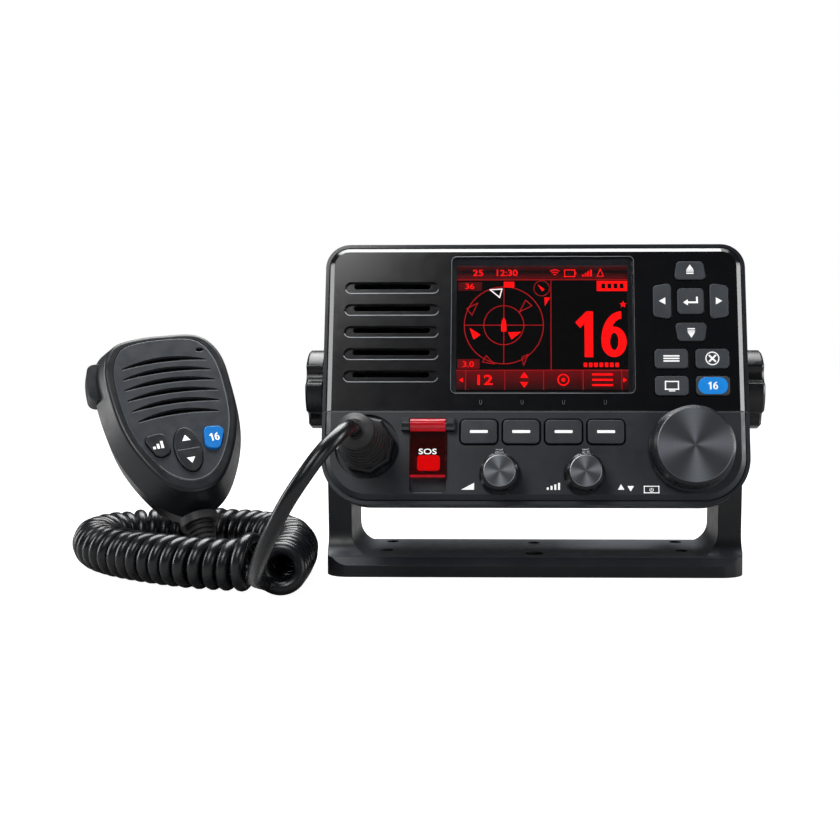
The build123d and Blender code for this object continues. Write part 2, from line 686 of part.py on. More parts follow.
with BuildPart() as front_bezel:
    with BuildSketch(FACE.offset(-BEZEL_BACK)):
        add(rim_outline)
    extrude(amount=RIM_DEPTH)
    with BuildSketch(FACE.offset(-RIM_SETBACK)):
        add(groove_outline)
        add(island_outline, mode=Mode.SUBTRACT)
    extrude(amount=-GROOVE_DEPTH, mode=Mode.SUBTRACT)
    with BuildSketch(FACE.offset(-RIM_SETBACK)):
        add(island_outline)
    extrude(amount=RIM_SETBACK)
    chamfer(front_bezel.faces().sort_by(Axis(FACE_ORIGIN, OUTWARD))[-1].edges(), FACE_CHAMFER)
    # hollow inside, with the ledge for the seal
    with BuildSketch(FACE.offset(-FACE_WALL)):
        add(cavity_outline)
    extrude(amount=-BEZEL_BACK, mode=Mode.SUBTRACT)
    with BuildSketch(FACE.offset(-LEDGE_AT)):
        add(ledge_outline)
    extrude(amount=-BEZEL_BACK, mode=Mode.SUBTRACT)
    # thicker floors of the distress well and the microphone socket, screw and board posts
    with BuildSketch(FACE.offset(-WELL_FLOOR)):
        with Locations((DISTRESS_X, WELL_CENTRE_Y)):
            Rectangle(WELL_WIDTH + 2 * WELL_BACKING, WELL_HEIGHT + 2 * WELL_BACKING)
    extrude(amount=WELL_FLOOR - FACE_WALL)
    with BuildSketch(FACE.offset(-FACE_WALL - SOCKET_BACKING)):
        with Locations((SOCKET_X, SOCKET_Y)):
            Circle(SOCKET_RECESS_RADIUS + WELL_BACKING)
        add(cavity_outline, mode=Mode.INTERSECT)
    extrude(amount=SOCKET_BACKING)
    with BuildSketch(FACE.offset(-FLANGE_FRONT)):
        with Locations(*screw_points):
            Circle(POST_RADIUS)
    extrude(amount=FLANGE_FRONT - FACE_WALL)
    with BuildSketch(FACE.offset(-BOARD_FRONT + BOARD_GAP)):
        with Locations(*board_posts):
            Circle(BOARD_POST_RADIUS)
    extrude(amount=BOARD_FRONT - BOARD_GAP - FACE_WALL)
    # step for the gloss plate, screen opening and speaker slots
    with BuildSketch(FACE.offset(-PLATE_THICK)):
        with Locations((0, PLATE_CENTRE_Y)):
            Rectangle(BODY_WIDTH, PLATE_SPAN)
    extrude(amount=PLATE_THICK, mode=Mode.SUBTRACT)
    with BuildSketch(FACE.offset(-FACE_WALL)):
        with Locations((SCREEN_X, SCREEN_Y)):
            Rectangle(SCREEN_WIDTH, SCREEN_HEIGHT)
        with Locations(*mouth_centres):
            SlotOverall(SLOT_MOUTH_LENGTH, SLOT_MOUTH_HEIGHT)
    extrude(amount=FACE_WALL, mode=Mode.SUBTRACT)
    # key openings, knob bushes
    with BuildSketch(FACE.offset(-FACE_WALL)):
        for key_x, key_y, key_shape in FACE_KEYS.values():
            with Locations((key_x, key_y)):
                add(offset(key_shape, amount=KEY_FIT, mode=Mode.PRIVATE))
        with Locations((VOLUME_X, SMALL_KNOB_Y), (SQUELCH_X, SMALL_KNOB_Y), (DIAL_X, DIAL_Y)):
            Circle(BUSH_RADIUS + SEAT_FIT)
    extrude(amount=FACE_WALL, mode=Mode.SUBTRACT)
    # distress well and its button opening
    with BuildSketch(FACE.offset(-WELL_DEPTH)):
        with Locations((DISTRESS_X, WELL_CENTRE_Y)):
            RectangleRounded(WELL_WIDTH, WELL_HEIGHT, WELL_RADIUS)
    extrude(amount=WELL_DEPTH, mode=Mode.SUBTRACT)
    with BuildSketch(FACE.offset(-WELL_FLOOR)):
        with Locations((DISTRESS_X, DISTRESS_BUTTON_Y)):
            RectangleRounded(
                DISTRESS_BUTTON_WIDTH + 2 * KEY_FIT,
                DISTRESS_BUTTON_HEIGHT + 2 * KEY_FIT,
                DISTRESS_BUTTON_RADIUS + KEY_FIT,
            )
    extrude(amount=WELL_FLOOR, mode=Mode.SUBTRACT)
    # ears that carry the hinge pin of the distress cover
    with BuildSketch(FACE.offset(-RIM_SETBACK)):
        for ear_side in (-1, 1):
            ear_x = DISTRESS_X + ear_side * (WELL_WIDTH + EAR_WIDTH) / 2
            with Locations((ear_x, HINGE_Y)):
                Rectangle(EAR_WIDTH, 2 * HINGE_RADIUS)
    extrude(amount=RIM_SETBACK + HINGE_PROUD + HINGE_RADIUS)
    ear_reach = WELL_WIDTH / 2 + EAR_WIDTH
    pin_plane = Plane(
        origin=face_point(DISTRESS_X - ear_reach, HINGE_Y, HINGE_PROUD), x_dir=OUTWARD, z_dir=(1, 0, 0)
    )
    with BuildSketch(pin_plane):
        Circle(PIN_RADIUS + SHAFT_FIT)
    extrude(amount=2 * ear_reach, mode=Mode.SUBTRACT)
    # microphone socket recess and bore
    with BuildSketch(FACE.offset(-SOCKET_RECESS_DEPTH)):
        with Locations((SOCKET_X, SOCKET_Y)):
            Circle(SOCKET_RECESS_RADIUS)
    extrude(amount=SOCKET_RECESS_DEPTH, mode=Mode.SUBTRACT)
    with BuildSketch(FACE.offset(-FACE_WALL - SOCKET_BACKING)):
        with Locations((SOCKET_X, SOCKET_Y)):
            Circle(SOCKET_BARREL_RADIUS + SEAT_FIT)
    extrude(amount=FACE_WALL + SOCKET_BACKING, mode=Mode.SUBTRACT)
    # screw holes from the back
    with BuildSketch(FACE.offset(-FLANGE_FRONT)):
        with Locations(*screw_points):
            Circle(SCREW_RADIUS + SHAFT_FIT)
    extrude(amount=SCREW_LENGTH, mode=Mode.SUBTRACT)
front_bezel.part.label = "front_bezel"
export_step(front_bezel.part, "parts/front_bezel.step")


# ---- gloss plate, display window and display -------------------------------------------------------

with BuildPart() as face_plate:
    with BuildSketch(FACE.offset(-RIM_SETBACK)):
        add(island_outline)
    extrude(amount=RIM_SETBACK)
    chamfer(face_plate.faces().sort_by(Axis(FACE_ORIGIN, OUTWARD))[-1].edges(), FACE_CHAMFER)
    with BuildSketch(FACE.offset(-PLATE_THICK)):
        with Locations((0, PLATE_CENTRE_Y + SEAT_FIT)):
            Rectangle(BODY_WIDTH, PLATE_SPAN)
    extrude(amount=PLATE_THICK, mode=Mode.INTERSECT)
    with BuildSketch(FACE.offset(-PLATE_THICK)):
        with Locations((SCREEN_X, SCREEN_Y + WINDOW_RISE)):
            RectangleRounded(
                WINDOW_WIDTH + 2 * SEAT_FIT, WINDOW_HEIGHT + 2 * SEAT_FIT, WINDOW_RADIUS + SEAT_FIT
            )
        for key_x, key_y, key_shape in FACE_KEYS.values():
            if key_y > PLATE_BOTTOM:
                with Locations((key_x, key_y)):
                    add(offset(key_shape, amount=KEY_FIT, mode=Mode.PRIVATE))
        with Locations(*mouth_centres):
            SlotOverall(SLOT_MOUTH_LENGTH, SLOT_MOUTH_HEIGHT)
    extrude(amount=PLATE_THICK, mode=Mode.SUBTRACT)
    with BuildSketch(FACE.offset(-SLOT_RECESS)):
        with Locations(*slot_centres):
            SlotOverall(SLOT_LENGTH, SLOT_HEIGHT)
    extrude(amount=SLOT_RECESS, mode=Mode.SUBTRACT)
face_plate.part.label = "face_plate"
export_step(face_plate.part, "parts/face_plate.step")

with BuildPart() as display_window:
    with BuildSketch(FACE.offset(-PLATE_THICK)):
        with Locations((SCREEN_X, SCREEN_Y + WINDOW_RISE)):
            RectangleRounded(WINDOW_WIDTH, WINDOW_HEIGHT, WINDOW_RADIUS)
    extrude(amount=WINDOW_THICK)
display_window.part.label = "display_window"
export_step(display_window.part, "parts/display_window.step")

with BuildPart() as display_module:
    with BuildSketch(FACE.offset(-SCREEN_FRONT)):
        with Locations((SCREEN_X, SCREEN_Y)):
            Rectangle(SCREEN_WIDTH + 2 * MODULE_BORDER, SCREEN_HEIGHT + 2 * MODULE_BORDER)
    extrude(amount=-MODULE_THICK)
    with BuildSketch(FACE.offset(-SCREEN_FRONT)):
        with Locations((SCREEN_X, SCREEN_Y)):
            Rectangle(SCREEN_WIDTH - 2 * SEAT_FIT, SCREEN_HEIGHT - 2 * SEAT_FIT)
    extrude(amount=SCREEN_FRONT - PLATE_THICK - SEAT_FIT)
display_module.part.label = "display_module"
export_step(display_module.part, "parts/display_module.step")


# ---- boards, key mat, speaker, pots ---------------------------------------------------------------

BOARD_LEFT = SCREEN_X - WINDOW_WIDTH / 2 + SEAT_FIT
BOARD_RIGHT = CAVITY_WIDTH / 2 - BOARD_EDGE
BOARD_TOP = CAVITY_HEIGHT / 2 - BOARD_EDGE
BOARD_CORNER = BOTTOM_RADIUS - RIM_WIDTH - SIDE_WALL
BOARD_TOP_CORNER = TOP_RADIUS - RIM_WIDTH - SIDE_WALL

with BuildPart() as logic_board:
    with BuildSketch(FACE.offset(-BOARD_FRONT)) as board_shape:
        with Locations(((BOARD_LEFT + BOARD_RIGHT) / 2, 0)):
            Rectangle(BOARD_RIGHT - BOARD_LEFT, 2 * BOARD_TOP)
        fillet(board_shape.vertices().group_by(Axis.Y)[0].sort_by(Axis.X)[-1], BOARD_CORNER)
        fillet(board_shape.vertices().group_by(Axis.Y)[-1].sort_by(Axis.X)[-1], BOARD_TOP_CORNER)
        with Locations(((BOARD_LEFT + DISTRESS_X - WELL_WIDTH / 2) / 2, (WELL_TOP - BOARD_TOP) / 2)):
            Rectangle(BOARD_LEFT - DISTRESS_X + WELL_WIDTH / 2, WELL_TOP + BOARD_TOP)
        with Locations(*screw_points):
            Circle(POST_RADIUS + BODY_GAP, mode=Mode.SUBTRACT)
    extrude(amount=-BOARD_THICK)
logic_board.part.label = "logic_board"
export_step(logic_board.part, "parts/logic_board.step")

MAT_FRONT = BOARD_FRONT - MAT_SHEET
MAT_BOSS_FRONT = KEY_BACK + KEY_TRAVEL + KEY_FIT
MAT_TOP = CROSS_Y + CROSS_REACH_Y + CHANNEL_HEIGHT / 2
MAT_BOTTOM = LOWER_KEY_Y - LOWER_KEY_PITCH - LOWER_KEY_HEIGHT / 2

with BuildPart() as key_mat:
    with BuildSketch(FACE.offset(-BOARD_FRONT)):
        with Locations((CROSS_X, (MAT_TOP + MAT_BOTTOM) / 2)):
            Rectangle(2 * CROSS_REACH_X + ARROW_WIDTH, MAT_TOP - MAT_BOTTOM)
    extrude(amount=MAT_SHEET)
    with BuildSketch(FACE.offset(-BOARD_FRONT)):
        with Locations((SCREEN_X, SOFT_Y)):
            Rectangle(SOFT_PITCH * SOFT_COUNT, SOFT_HEIGHT)
    extrude(amount=MAT_SHEET)
    with BuildSketch(FACE.offset(-MAT_FRONT)):
        for key_x, key_y, key_shape in FACE_KEYS.values():
            with Locations((key_x, key_y)):
                add(offset(key_shape, amount=-MAT_BOSS_INSET, mode=Mode.PRIVATE))
    extrude(amount=MAT_FRONT - MAT_BOSS_FRONT)
    with BuildSketch(FACE.offset(-BOARD_FRONT)):
        with Locations(*board_posts):
            Circle(BOARD_POST_RADIUS + BODY_GAP)
        with Locations(*screw_points):
            Circle(POST_RADIUS + BODY_GAP)
    extrude(amount=BOARD_FRONT, mode=Mode.SUBTRACT)
key_mat.part.label = "key_mat"
export_step(key_mat.part, "parts/key_mat.step")

SPEAKER_FRONT = FACE_WALL + SEAT_FIT
with BuildPart() as speaker:
    with BuildSketch(turning_plane(SPEAKER_X, SPEAKER_Y)):
        with BuildLine():
            Polyline(
                (0, -SPEAKER_FRONT - CONE_DEPTH),
                (MAGNET_RADIUS / 2, -SPEAKER_FRONT - CONE_DEPTH + SURROUND_DEPTH),
                (SPEAKER_RADIUS - SURROUND_WIDTH, -SPEAKER_FRONT - SURROUND_DEPTH),
                (SPEAKER_RADIUS - SURROUND_WIDTH, -SPEAKER_FRONT),
                (SPEAKER_RADIUS, -SPEAKER_FRONT),
                (SPEAKER_RADIUS, -SPEAKER_FRONT - BASKET_EDGE),
                (MAGNET_RADIUS + SURROUND_WIDTH, -SPEAKER_FRONT - SPEAKER_DEPTH + MAGNET_DEPTH),
                (MAGNET_RADIUS, -SPEAKER_FRONT - SPEAKER_DEPTH + MAGNET_DEPTH),
                (MAGNET_RADIUS, -SPEAKER_FRONT - SPEAKER_DEPTH),
                (0, -SPEAKER_FRONT - SPEAKER_DEPTH),
                close=True,
            )
        make_face()
    revolve(axis=Axis(face_point(SPEAKER_X, SPEAKER_Y, 0), OUTWARD))
speaker.part.label = "speaker"
export_step(speaker.part, "parts/speaker.step")

with BuildPart() as knob_pots:
    for pot_x in (VOLUME_X, SQUELCH_X):
        with BuildSketch(FACE.offset(-BOARD_FRONT)):
            with Locations((pot_x, SMALL_KNOB_Y)):
                Rectangle(POT_SIZE, POT_SIZE)
        extrude(amount=POT_DEPTH)
        with BuildSketch(FACE.offset(-BOARD_FRONT)):
            with Locations((pot_x, SMALL_KNOB_Y)):
                Circle(BUSH_RADIUS)
        extrude(amount=BOARD_FRONT - BUSH_FRONT)
        with BuildSketch(FACE.offset(-BOARD_FRONT + POT_FORWARD)):
            with Locations((pot_x, SMALL_KNOB_Y)):
                Circle(SMALL_SPINDLE_RADIUS + SHAFT_FIT)
        extrude(amount=BOARD_FRONT, mode=Mode.SUBTRACT)
knob_pots.part.label = "knob_pots"
export_step(knob_pots.part, "parts/knob_pots.step")

with BuildPart() as dial_encoder:
    with BuildSketch(FACE.offset(-BOARD_FRONT)):
        with Locations((DIAL_X, DIAL_Y)):
            Rectangle(ENCODER_SIZE, ENCODER_SIZE)
    extrude(amount=POT_DEPTH)
    with BuildSketch(FACE.offset(-BOARD_FRONT)):
        with Locations((DIAL_X, DIAL_Y)):
            Circle(BUSH_RADIUS)
    extrude(amount=BOARD_FRONT - BUSH_FRONT)
    with BuildSketch(FACE.offset(-BOARD_FRONT + POT_FORWARD)):
        with Locations((DIAL_X, DIAL_Y)):
            Circle(DIAL_SPINDLE_RADIUS + SHAFT_FIT)
    extrude(amount=BOARD_FRONT, mode=Mode.SUBTRACT)
dial_encoder.part.label = "dial_encoder"
export_step(dial_encoder.part, "parts/dial_encoder.step")


# ---- knobs and dial -----------------------------------------------------------------------------

SPINDLE_BACK = BOARD_FRONT - POT_FORWARD - BODY_GAP


def make_small_knob(name, x):
    """Volume or squelch knob: skirt, body, pointer ridge and its spindle."""
    axis = Axis(face_point(x, SMALL_KNOB_Y, 0), OUTWARD)
    with BuildPart() as knob:
        with BuildSketch(turning_plane(x, SMALL_KNOB_Y)):
            with BuildLine():
                Polyline(
                    (0, -SPINDLE_BACK),
                    (SMALL_SPINDLE_RADIUS, -SPINDLE_BACK),
                    (SMALL_SPINDLE_RADIUS, KNOB_STANDOFF),
                    (SMALL_SKIRT_RADIUS, KNOB_STANDOFF),
                    (SMALL_SKIRT_RADIUS, KNOB_STANDOFF + SMALL_SKIRT_HEIGHT),
                    (SMALL_KNOB_RADIUS + SMALL_KNOB_DRAFT, KNOB_STANDOFF + SMALL_KNOB_FOOT),
                    (SMALL_KNOB_RADIUS, SMALL_KNOB_HEIGHT - SMALL_KNOB_EDGE),
                    (SMALL_KNOB_RADIUS - SMALL_KNOB_EDGE, SMALL_KNOB_HEIGHT),
                    (0, SMALL_KNOB_HEIGHT),
                    close=True,
                )
            make_face()
        revolve(axis=axis)
        with BuildSketch(FACE.offset(KNOB_STANDOFF)):
            with Locations((x, SMALL_KNOB_Y)):
                Polygon(
                    (-POINTER_ROOT_WIDTH / 2, POINTER_ROOT),
                    (POINTER_ROOT_WIDTH / 2, POINTER_ROOT),
                    (POINTER_WIDTH / 2, POINTER_REACH),
                    (-POINTER_WIDTH / 2, POINTER_REACH),
                    align=None,
                )
        extrude(amount=SMALL_KNOB_HEIGHT - KNOB_STANDOFF - POINTER_DROP)
    knob.part.label = name
    export_step(knob.part, f"parts/{name}.step")


make_small_knob("volume_knob", VOLUME_X)
make_small_knob("squelch_knob", SQUELCH_X)

DIAL_STANDOFF = KNOB_STANDOFF + DIAL_PUSH
DIAL_BORE_DEPTH = DIAL_HEIGHT - DIAL_CAP
with BuildPart() as dial_shaft:
    with BuildSketch(FACE.offset(-SPINDLE_BACK + DIAL_PUSH)):
        with Locations((DIAL_X, DIAL_Y)):
            Circle(DIAL_SPINDLE_RADIUS)
    extrude(amount=SPINDLE_BACK - DIAL_PUSH + DIAL_BORE_DEPTH - BODY_GAP)
dial_shaft.part.label = "dial_shaft"
export_step(dial_shaft.part, "parts/dial_shaft.step")

with BuildPart() as channel_dial:
    with BuildSketch(turning_plane(DIAL_X, DIAL_Y)):
        with BuildLine():
            Polyline(
                (DIAL_SPINDLE_RADIUS + SHAFT_FIT, DIAL_STANDOFF),
                (DIAL_BASE_RADIUS, DIAL_STANDOFF),
                (DIAL_BASE_RADIUS, DIAL_STANDOFF + DIAL_BASE_HEIGHT),
                (DIAL_RADIUS, DIAL_STANDOFF + DIAL_STEP),
                (DIAL_RADIUS - DIAL_DRAFT, DIAL_HEIGHT - DIAL_EDGE_DROP),
                (DIAL_FACE_RADIUS, DIAL_HEIGHT),
                (0, DIAL_HEIGHT - DIAL_HOLLOW),
                (0, DIAL_BORE_DEPTH),
                (DIAL_SPINDLE_RADIUS + SHAFT_FIT, DIAL_BORE_DEPTH),
                close=True,
            )
        make_face()
    revolve(axis=Axis(face_point(DIAL_X, DIAL_Y, 0), OUTWARD))
channel_dial.part.label = "channel_dial"
export_step(channel_dial.part, "parts/channel_dial.step")


# ---- distress switch -----------------------------------------------------------------------------

COVER_WIDTH = WELL_WIDTH - 2 * BODY_GAP
hinge_side = face_point(DISTRESS_X - COVER_WIDTH / 2, HINGE_Y, HINGE_PROUD)
hinge_plane = Plane(origin=hinge_side, x_dir=OUTWARD, z_dir=(1, 0, 0))
with BuildPart() as distress_cover:
    with BuildSketch(hinge_plane):
        Circle(HINGE_RADIUS)
    extrude(amount=COVER_WIDTH)
    with BuildSketch(FACE.offset(COVER_BACK)):
        with Locations((DISTRESS_X, (HINGE_Y + COVER_BOTTOM) / 2)):
            Rectangle(COVER_WIDTH, HINGE_Y - COVER_BOTTOM)
    extrude(amount=COVER_THICK)
    with BuildSketch(FACE.offset(COVER_BACK - LIP_BACK)):
        with Locations((DISTRESS_X, COVER_BOTTOM + LIP_HEIGHT / 2)):
            Rectangle(COVER_WIDTH, LIP_HEIGHT)
    extrude(amount=LIP_BACK + COVER_THICK)
    with BuildSketch(hinge_plane):
        Circle(PIN_RADIUS + SHAFT_FIT)
    extrude(amount=COVER_WIDTH, mode=Mode.SUBTRACT)
distress_cover.part.label = "distress_cover"
export_step(distress_cover.part, "parts/distress_cover.step")

with BuildPart() as distress_pin:
    with BuildSketch(pin_plane):
        Circle(PIN_RADIUS)
    extrude(amount=2 * ear_reach)
distress_pin.part.label = "distress_pin"
export_step(distress_pin.part, "parts/distress_pin.step")

with BuildPart() as distress_button:
    with BuildSketch(FACE.offset(-WELL_FLOOR - BODY_GAP - KEY_FLANGE_THICK)):
        with Locations((DISTRESS_X, DISTRESS_BUTTON_Y)):
            Rectangle(DISTRESS_BUTTON_WIDTH + 2 * KEY_FLANGE, DISTRESS_BUTTON_HEIGHT + 2 * KEY_FLANGE)
    extrude(amount=KEY_FLANGE_THICK)
    with BuildSketch(FACE.offset(-WELL_FLOOR - BODY_GAP - KEY_FLANGE_THICK)):
        with Locations((DISTRESS_X, DISTRESS_BUTTON_Y)):
            RectangleRounded(DISTRESS_BUTTON_WIDTH, DISTRESS_BUTTON_HEIGHT, DISTRESS_BUTTON_RADIUS)
    extrude(amount=WELL_BACKING + BODY_GAP + KEY_FLANGE_THICK + DISTRESS_BUTTON_PROUD)
distress_button.part.label = "distress_button"
export_step(distress_button.part, "parts/distress_button.step")


# ---- microphone socket, plug nut and boot ----------------------------------------------------------

SOCKET_BACK = FACE_WALL + SOCKET_BACKING
with BuildPart() as mic_socket:
    with BuildSketch(FACE.offset(-SOCKET_BACK)):
        with Locations((SOCKET_X, SOCKET_Y)):
            Circle(SOCKET_FLANGE_RADIUS)
    extrude(amount=-SOCKET_FLANGE_THICK)
    with BuildSketch(FACE.offset(-SOCKET_BACK)):
        with Locations((SOCKET_X, SOCKET_Y)):
            Circle(SOCKET_BARREL_RADIUS)
    extrude(amount=SOCKET_BACK + SOCKET_REACH)
mic_socket.part.label = "mic_socket"
export_step(mic_socket.part, "parts/mic_socket.step")

NUT_FRONT = NUT_BACK + NUT_HEIGHT
with BuildPart() as plug_nut:
    with BuildSketch(FACE.offset(NUT_BACK)):
        with Locations((SOCKET_X, SOCKET_Y)):
            RegularPolygon(NUT_FLATS / 2, NUT_SIDES, major_radius=False, rotation=NUT_TURN)
    extrude(amount=NUT_HEIGHT)
    chamfer(plug_nut.faces().sort_by(Axis(FACE_ORIGIN, OUTWARD))[-1].edges(), NUT_CHAMFER)
    with BuildSketch(FACE.offset(NUT_BACK)):
        with Locations((SOCKET_X, SOCKET_Y)):
            Circle(SOCKET_BARREL_RADIUS + SEAT_FIT)
    extrude(amount=SOCKET_REACH - NUT_BACK, mode=Mode.SUBTRACT)
plug_nut.part.label = "plug_nut"
export_step(plug_nut.part, "parts/plug_nut.step")

BOOT_END = NUT_FRONT + BOOT_LENGTH
with BuildPart() as plug_boot:
    with BuildSketch(turning_plane(SOCKET_X, SOCKET_Y)):
        with BuildLine():
            boot_side = ribbed_profile(
                BOOT_BASE_RADIUS, BOOT_TIP_RADIUS, BOOT_LENGTH - BOOT_DOME, BOOT_RIBS, NUT_FRONT
            )
            Polyline(*boot_side, (CORD_RADIUS + BOOT_LIP, BOOT_END), (0, BOOT_END), close=True)
        make_face()
    revolve(axis=Axis(face_point(SOCKET_X, SOCKET_Y, 0), OUTWARD))
plug_boot.part.label = "plug_boot"
export_step(plug_boot.part, "parts/plug_boot.step")


# ---- seal, chassis, main board, rear sockets, screws ----------------------------------------------

with BuildPart() as front_seal:
    with BuildSketch(FACE.offset(-LEDGE_AT)):
        seal_outer = offset(cavity_outline, amount=LEDGE - SEAT_FIT, mode=Mode.PRIVATE)
        seal_inner = offset(cavity_outline, amount=LEDGE - SEAT_FIT - SEAL_WIDTH, mode=Mode.PRIVATE)
        add(seal_outer)
        add(seal_inner, mode=Mode.SUBTRACT)
        with Locations(*screw_points):
            Circle(POST_RADIUS + SEAT_FIT, mode=Mode.SUBTRACT)
    extrude(amount=-SEAL_THICK)
front_seal.part.label = "front_seal"
export_step(front_seal.part, "parts/front_seal.step")

fin_places = [(FIN_START_X + FIN_PITCH * index, 0) for index in range(FIN_COUNT)]
lead_glands_at = [(GLAND_X, GLAND_Y), (GLAND_X, GLAND_Y - GLAND_PITCH)]
with BuildPart() as chassis:
    with BuildSketch(FACE.offset(-FLANGE_FRONT)):
        add(offset(cavity_outline, amount=LEDGE - SEAT_FIT, mode=Mode.PRIVATE))
    extrude(amount=-FLANGE_THICK)
    with BuildSketch(FACE.offset(-FLANGE_BACK)):
        RectangleRounded(CHASSIS_WIDTH, CHASSIS_HEIGHT, CHASSIS_RADIUS)
    extrude(amount=-CHASSIS_DEPTH)
    with BuildSketch(FACE.offset(-FLANGE_FRONT)):
        RectangleRounded(
            CHASSIS_WIDTH - 2 * CHASSIS_WALL, CHASSIS_HEIGHT - 2 * CHASSIS_WALL, CHASSIS_RADIUS - CHASSIS_WALL
        )
    extrude(amount=-FLANGE_THICK - CHASSIS_DEPTH + CHASSIS_WALL, mode=Mode.SUBTRACT)
    with BuildSketch(FACE.offset(-CHASSIS_BACK)):
        with Locations(*fin_places):
            Rectangle(FIN_THICK, FIN_HEIGHT)
    extrude(amount=-FIN_DEPTH)
    for boss_side in (-1, 1):
        with BuildSketch(side_plane(boss_side, CHASSIS_WIDTH / 2)):
            Circle(STUD_BOSS_RADIUS)
        extrude(amount=-STUD_BOSS_DEPTH)
        with BuildSketch(side_plane(boss_side, CHASSIS_WIDTH / 2)):
            Circle(STUD_RADIUS + SHAFT_FIT)
        extrude(amount=-STUD_IN_CHASSIS - BODY_GAP, mode=Mode.SUBTRACT)
    with BuildSketch(FACE.offset(-FLANGE_FRONT)):
        with Locations(*screw_points):
            Circle(SCREW_RADIUS + SHAFT_FIT)
    extrude(amount=-FLANGE_THICK, mode=Mode.SUBTRACT)
    with BuildSketch(FACE.offset(-CHASSIS_BACK)):
        with Locations(*lead_glands_at):
            Circle(GLAND_STEM + SEAT_FIT)
    extrude(amount=CHASSIS_WALL, mode=Mode.SUBTRACT)
chassis.part.label = "chassis"
export_step(chassis.part, "parts/chassis.step")

MAIN_BOARD_AT = CHASSIS_BACK - CHASSIS_WALL
AMPLIFIER_WIDTH = CHASSIS_WIDTH / 2 - 2 * CHASSIS_WALL
with BuildPart() as main_board:
    with BuildSketch(FACE.offset(-MAIN_BOARD_AT)):
        with Locations((-AMPLIFIER_WIDTH / 2, 0)):
            Rectangle(AMPLIFIER_WIDTH, CHASSIS_HEIGHT - 4 * CHASSIS_WALL)
    extrude(amount=MAIN_STAND)
    with BuildSketch(FACE.offset(-MAIN_BOARD_AT + MAIN_STAND)):
        Rectangle(CHASSIS_WIDTH - 3 * CHASSIS_WALL, CHASSIS_HEIGHT - 4 * CHASSIS_WALL)
    extrude(amount=BOARD_THICK)
main_board.part.label = "main_board"
export_step(main_board.part, "parts/main_board.step")

with BuildPart() as antenna_socket:
    with BuildSketch(FACE.offset(-CHASSIS_BACK)):
        with Locations((ANTENNA_X, ANTENNA_Y)):
            Circle(ANTENNA_FLANGE_RADIUS)
    extrude(amount=-ANTENNA_FLANGE)
    with BuildSketch(FACE.offset(-CHASSIS_BACK)):
        with Locations((ANTENNA_X, ANTENNA_Y)):
            Circle(ANTENNA_RADIUS)
    extrude(amount=-ANTENNA_LENGTH)
    with BuildSketch(FACE.offset(-CHASSIS_BACK - ANTENNA_LENGTH)):
        with Locations((ANTENNA_X, ANTENNA_Y)):
            Circle(ANTENNA_BORE)
            Circle(ANTENNA_CONTACT, mode=Mode.SUBTRACT)
    extrude(amount=ANTENNA_LENGTH - ANTENNA_FLANGE, mode=Mode.SUBTRACT)
antenna_socket.part.label = "antenna_socket"
export_step(antenna_socket.part, "parts/antenna_socket.step")

with BuildPart() as lead_glands:
    for gland_x, gland_y in lead_glands_at:
        with BuildSketch(FACE.offset(-CHASSIS_BACK)):
            with Locations((gland_x, gland_y)):
                Circle(GLAND_RADIUS)
        extrude(amount=-GLAND_LENGTH, taper=GLAND_TAPER)
        with BuildSketch(FACE.offset(-CHASSIS_BACK)):
            with Locations((gland_x, gland_y)):
                Circle(GLAND_STEM)
        extrude(amount=CHASSIS_WALL)
        with BuildSketch(FACE.offset(-CHASSIS_BACK - GLAND_LENGTH)):
            with Locations((gland_x, gland_y)):
                Circle(GLAND_BORE)
        extrude(amount=GLAND_LENGTH + CHASSIS_WALL, mode=Mode.SUBTRACT)
lead_glands.part.label = "lead_glands"
export_step(lead_glands.part, "parts/lead_glands.step")

with BuildPart() as case_screws:
    with BuildSketch(FACE.offset(-FLANGE_BACK)):
        with Locations(*screw_points):
            Circle(SCREW_HEAD_RADIUS)
    extrude(amount=-SCREW_HEAD)
    with BuildSketch(FACE.offset(-FLANGE_BACK)):
        with Locations(*screw_points):
            Circle(SCREW_RADIUS)
    extrude(amount=FLANGE_THICK + SCREW_LENGTH)
case_screws.part.label = "case_screws"
export_step(case_screws.part, "parts/case_screws.step")


# ---- microphone -----------------------------------------------------------------------------------

MIC_OUT = Vector(
    sin(radians(MIC_TURN)) * cos(radians(MIC_LEAN)),
    -cos(radians(MIC_TURN)) * cos(radians(MIC_LEAN)),
    sin(radians(MIC_LEAN)),
)
MIC_LEVEL = Vector(cos(radians(MIC_TURN)), sin(radians(MIC_TURN)), 0)
MIC_RISE = MIC_OUT.cross(MIC_LEVEL)
MIC_ACROSS = MIC_LEVEL * cos(radians(MIC_ROLL)) + MIC_RISE * sin(radians(MIC_ROLL))
MIC_UP = MIC_OUT.cross(MIC_ACROSS)
MIC = Plane(origin=MIC_AT, x_dir=MIC_ACROSS, z_dir=MIC_OUT)
MIC_AXIS = Axis(MIC_AT, MIC_OUT)
PARTING = -MIC_FRONT_DEPTH
MIC_BACK = -MIC_FRONT_DEPTH - MIC_REAR_DEPTH
BOOT_OUT = (MIC_FRONT_DEPTH + MIC_REAR_DEPTH) / 2


def mic_point(x, y, out):
    """World position of a point of the microphone, given from its rocker."""
    return Vector(*MIC_AT) + MIC_ACROSS * x + MIC_UP * y + MIC_OUT * out


mic_screw_points = [
    (-MIC_SCREW_X, MIC_SCREW_TOP),
    (MIC_SCREW_X, MIC_SCREW_TOP),
    (-MIC_SCREW_X / 2, MIC_SCREW_BOTTOM),
    (MIC_SCREW_X / 2, MIC_SCREW_BOTTOM),
]


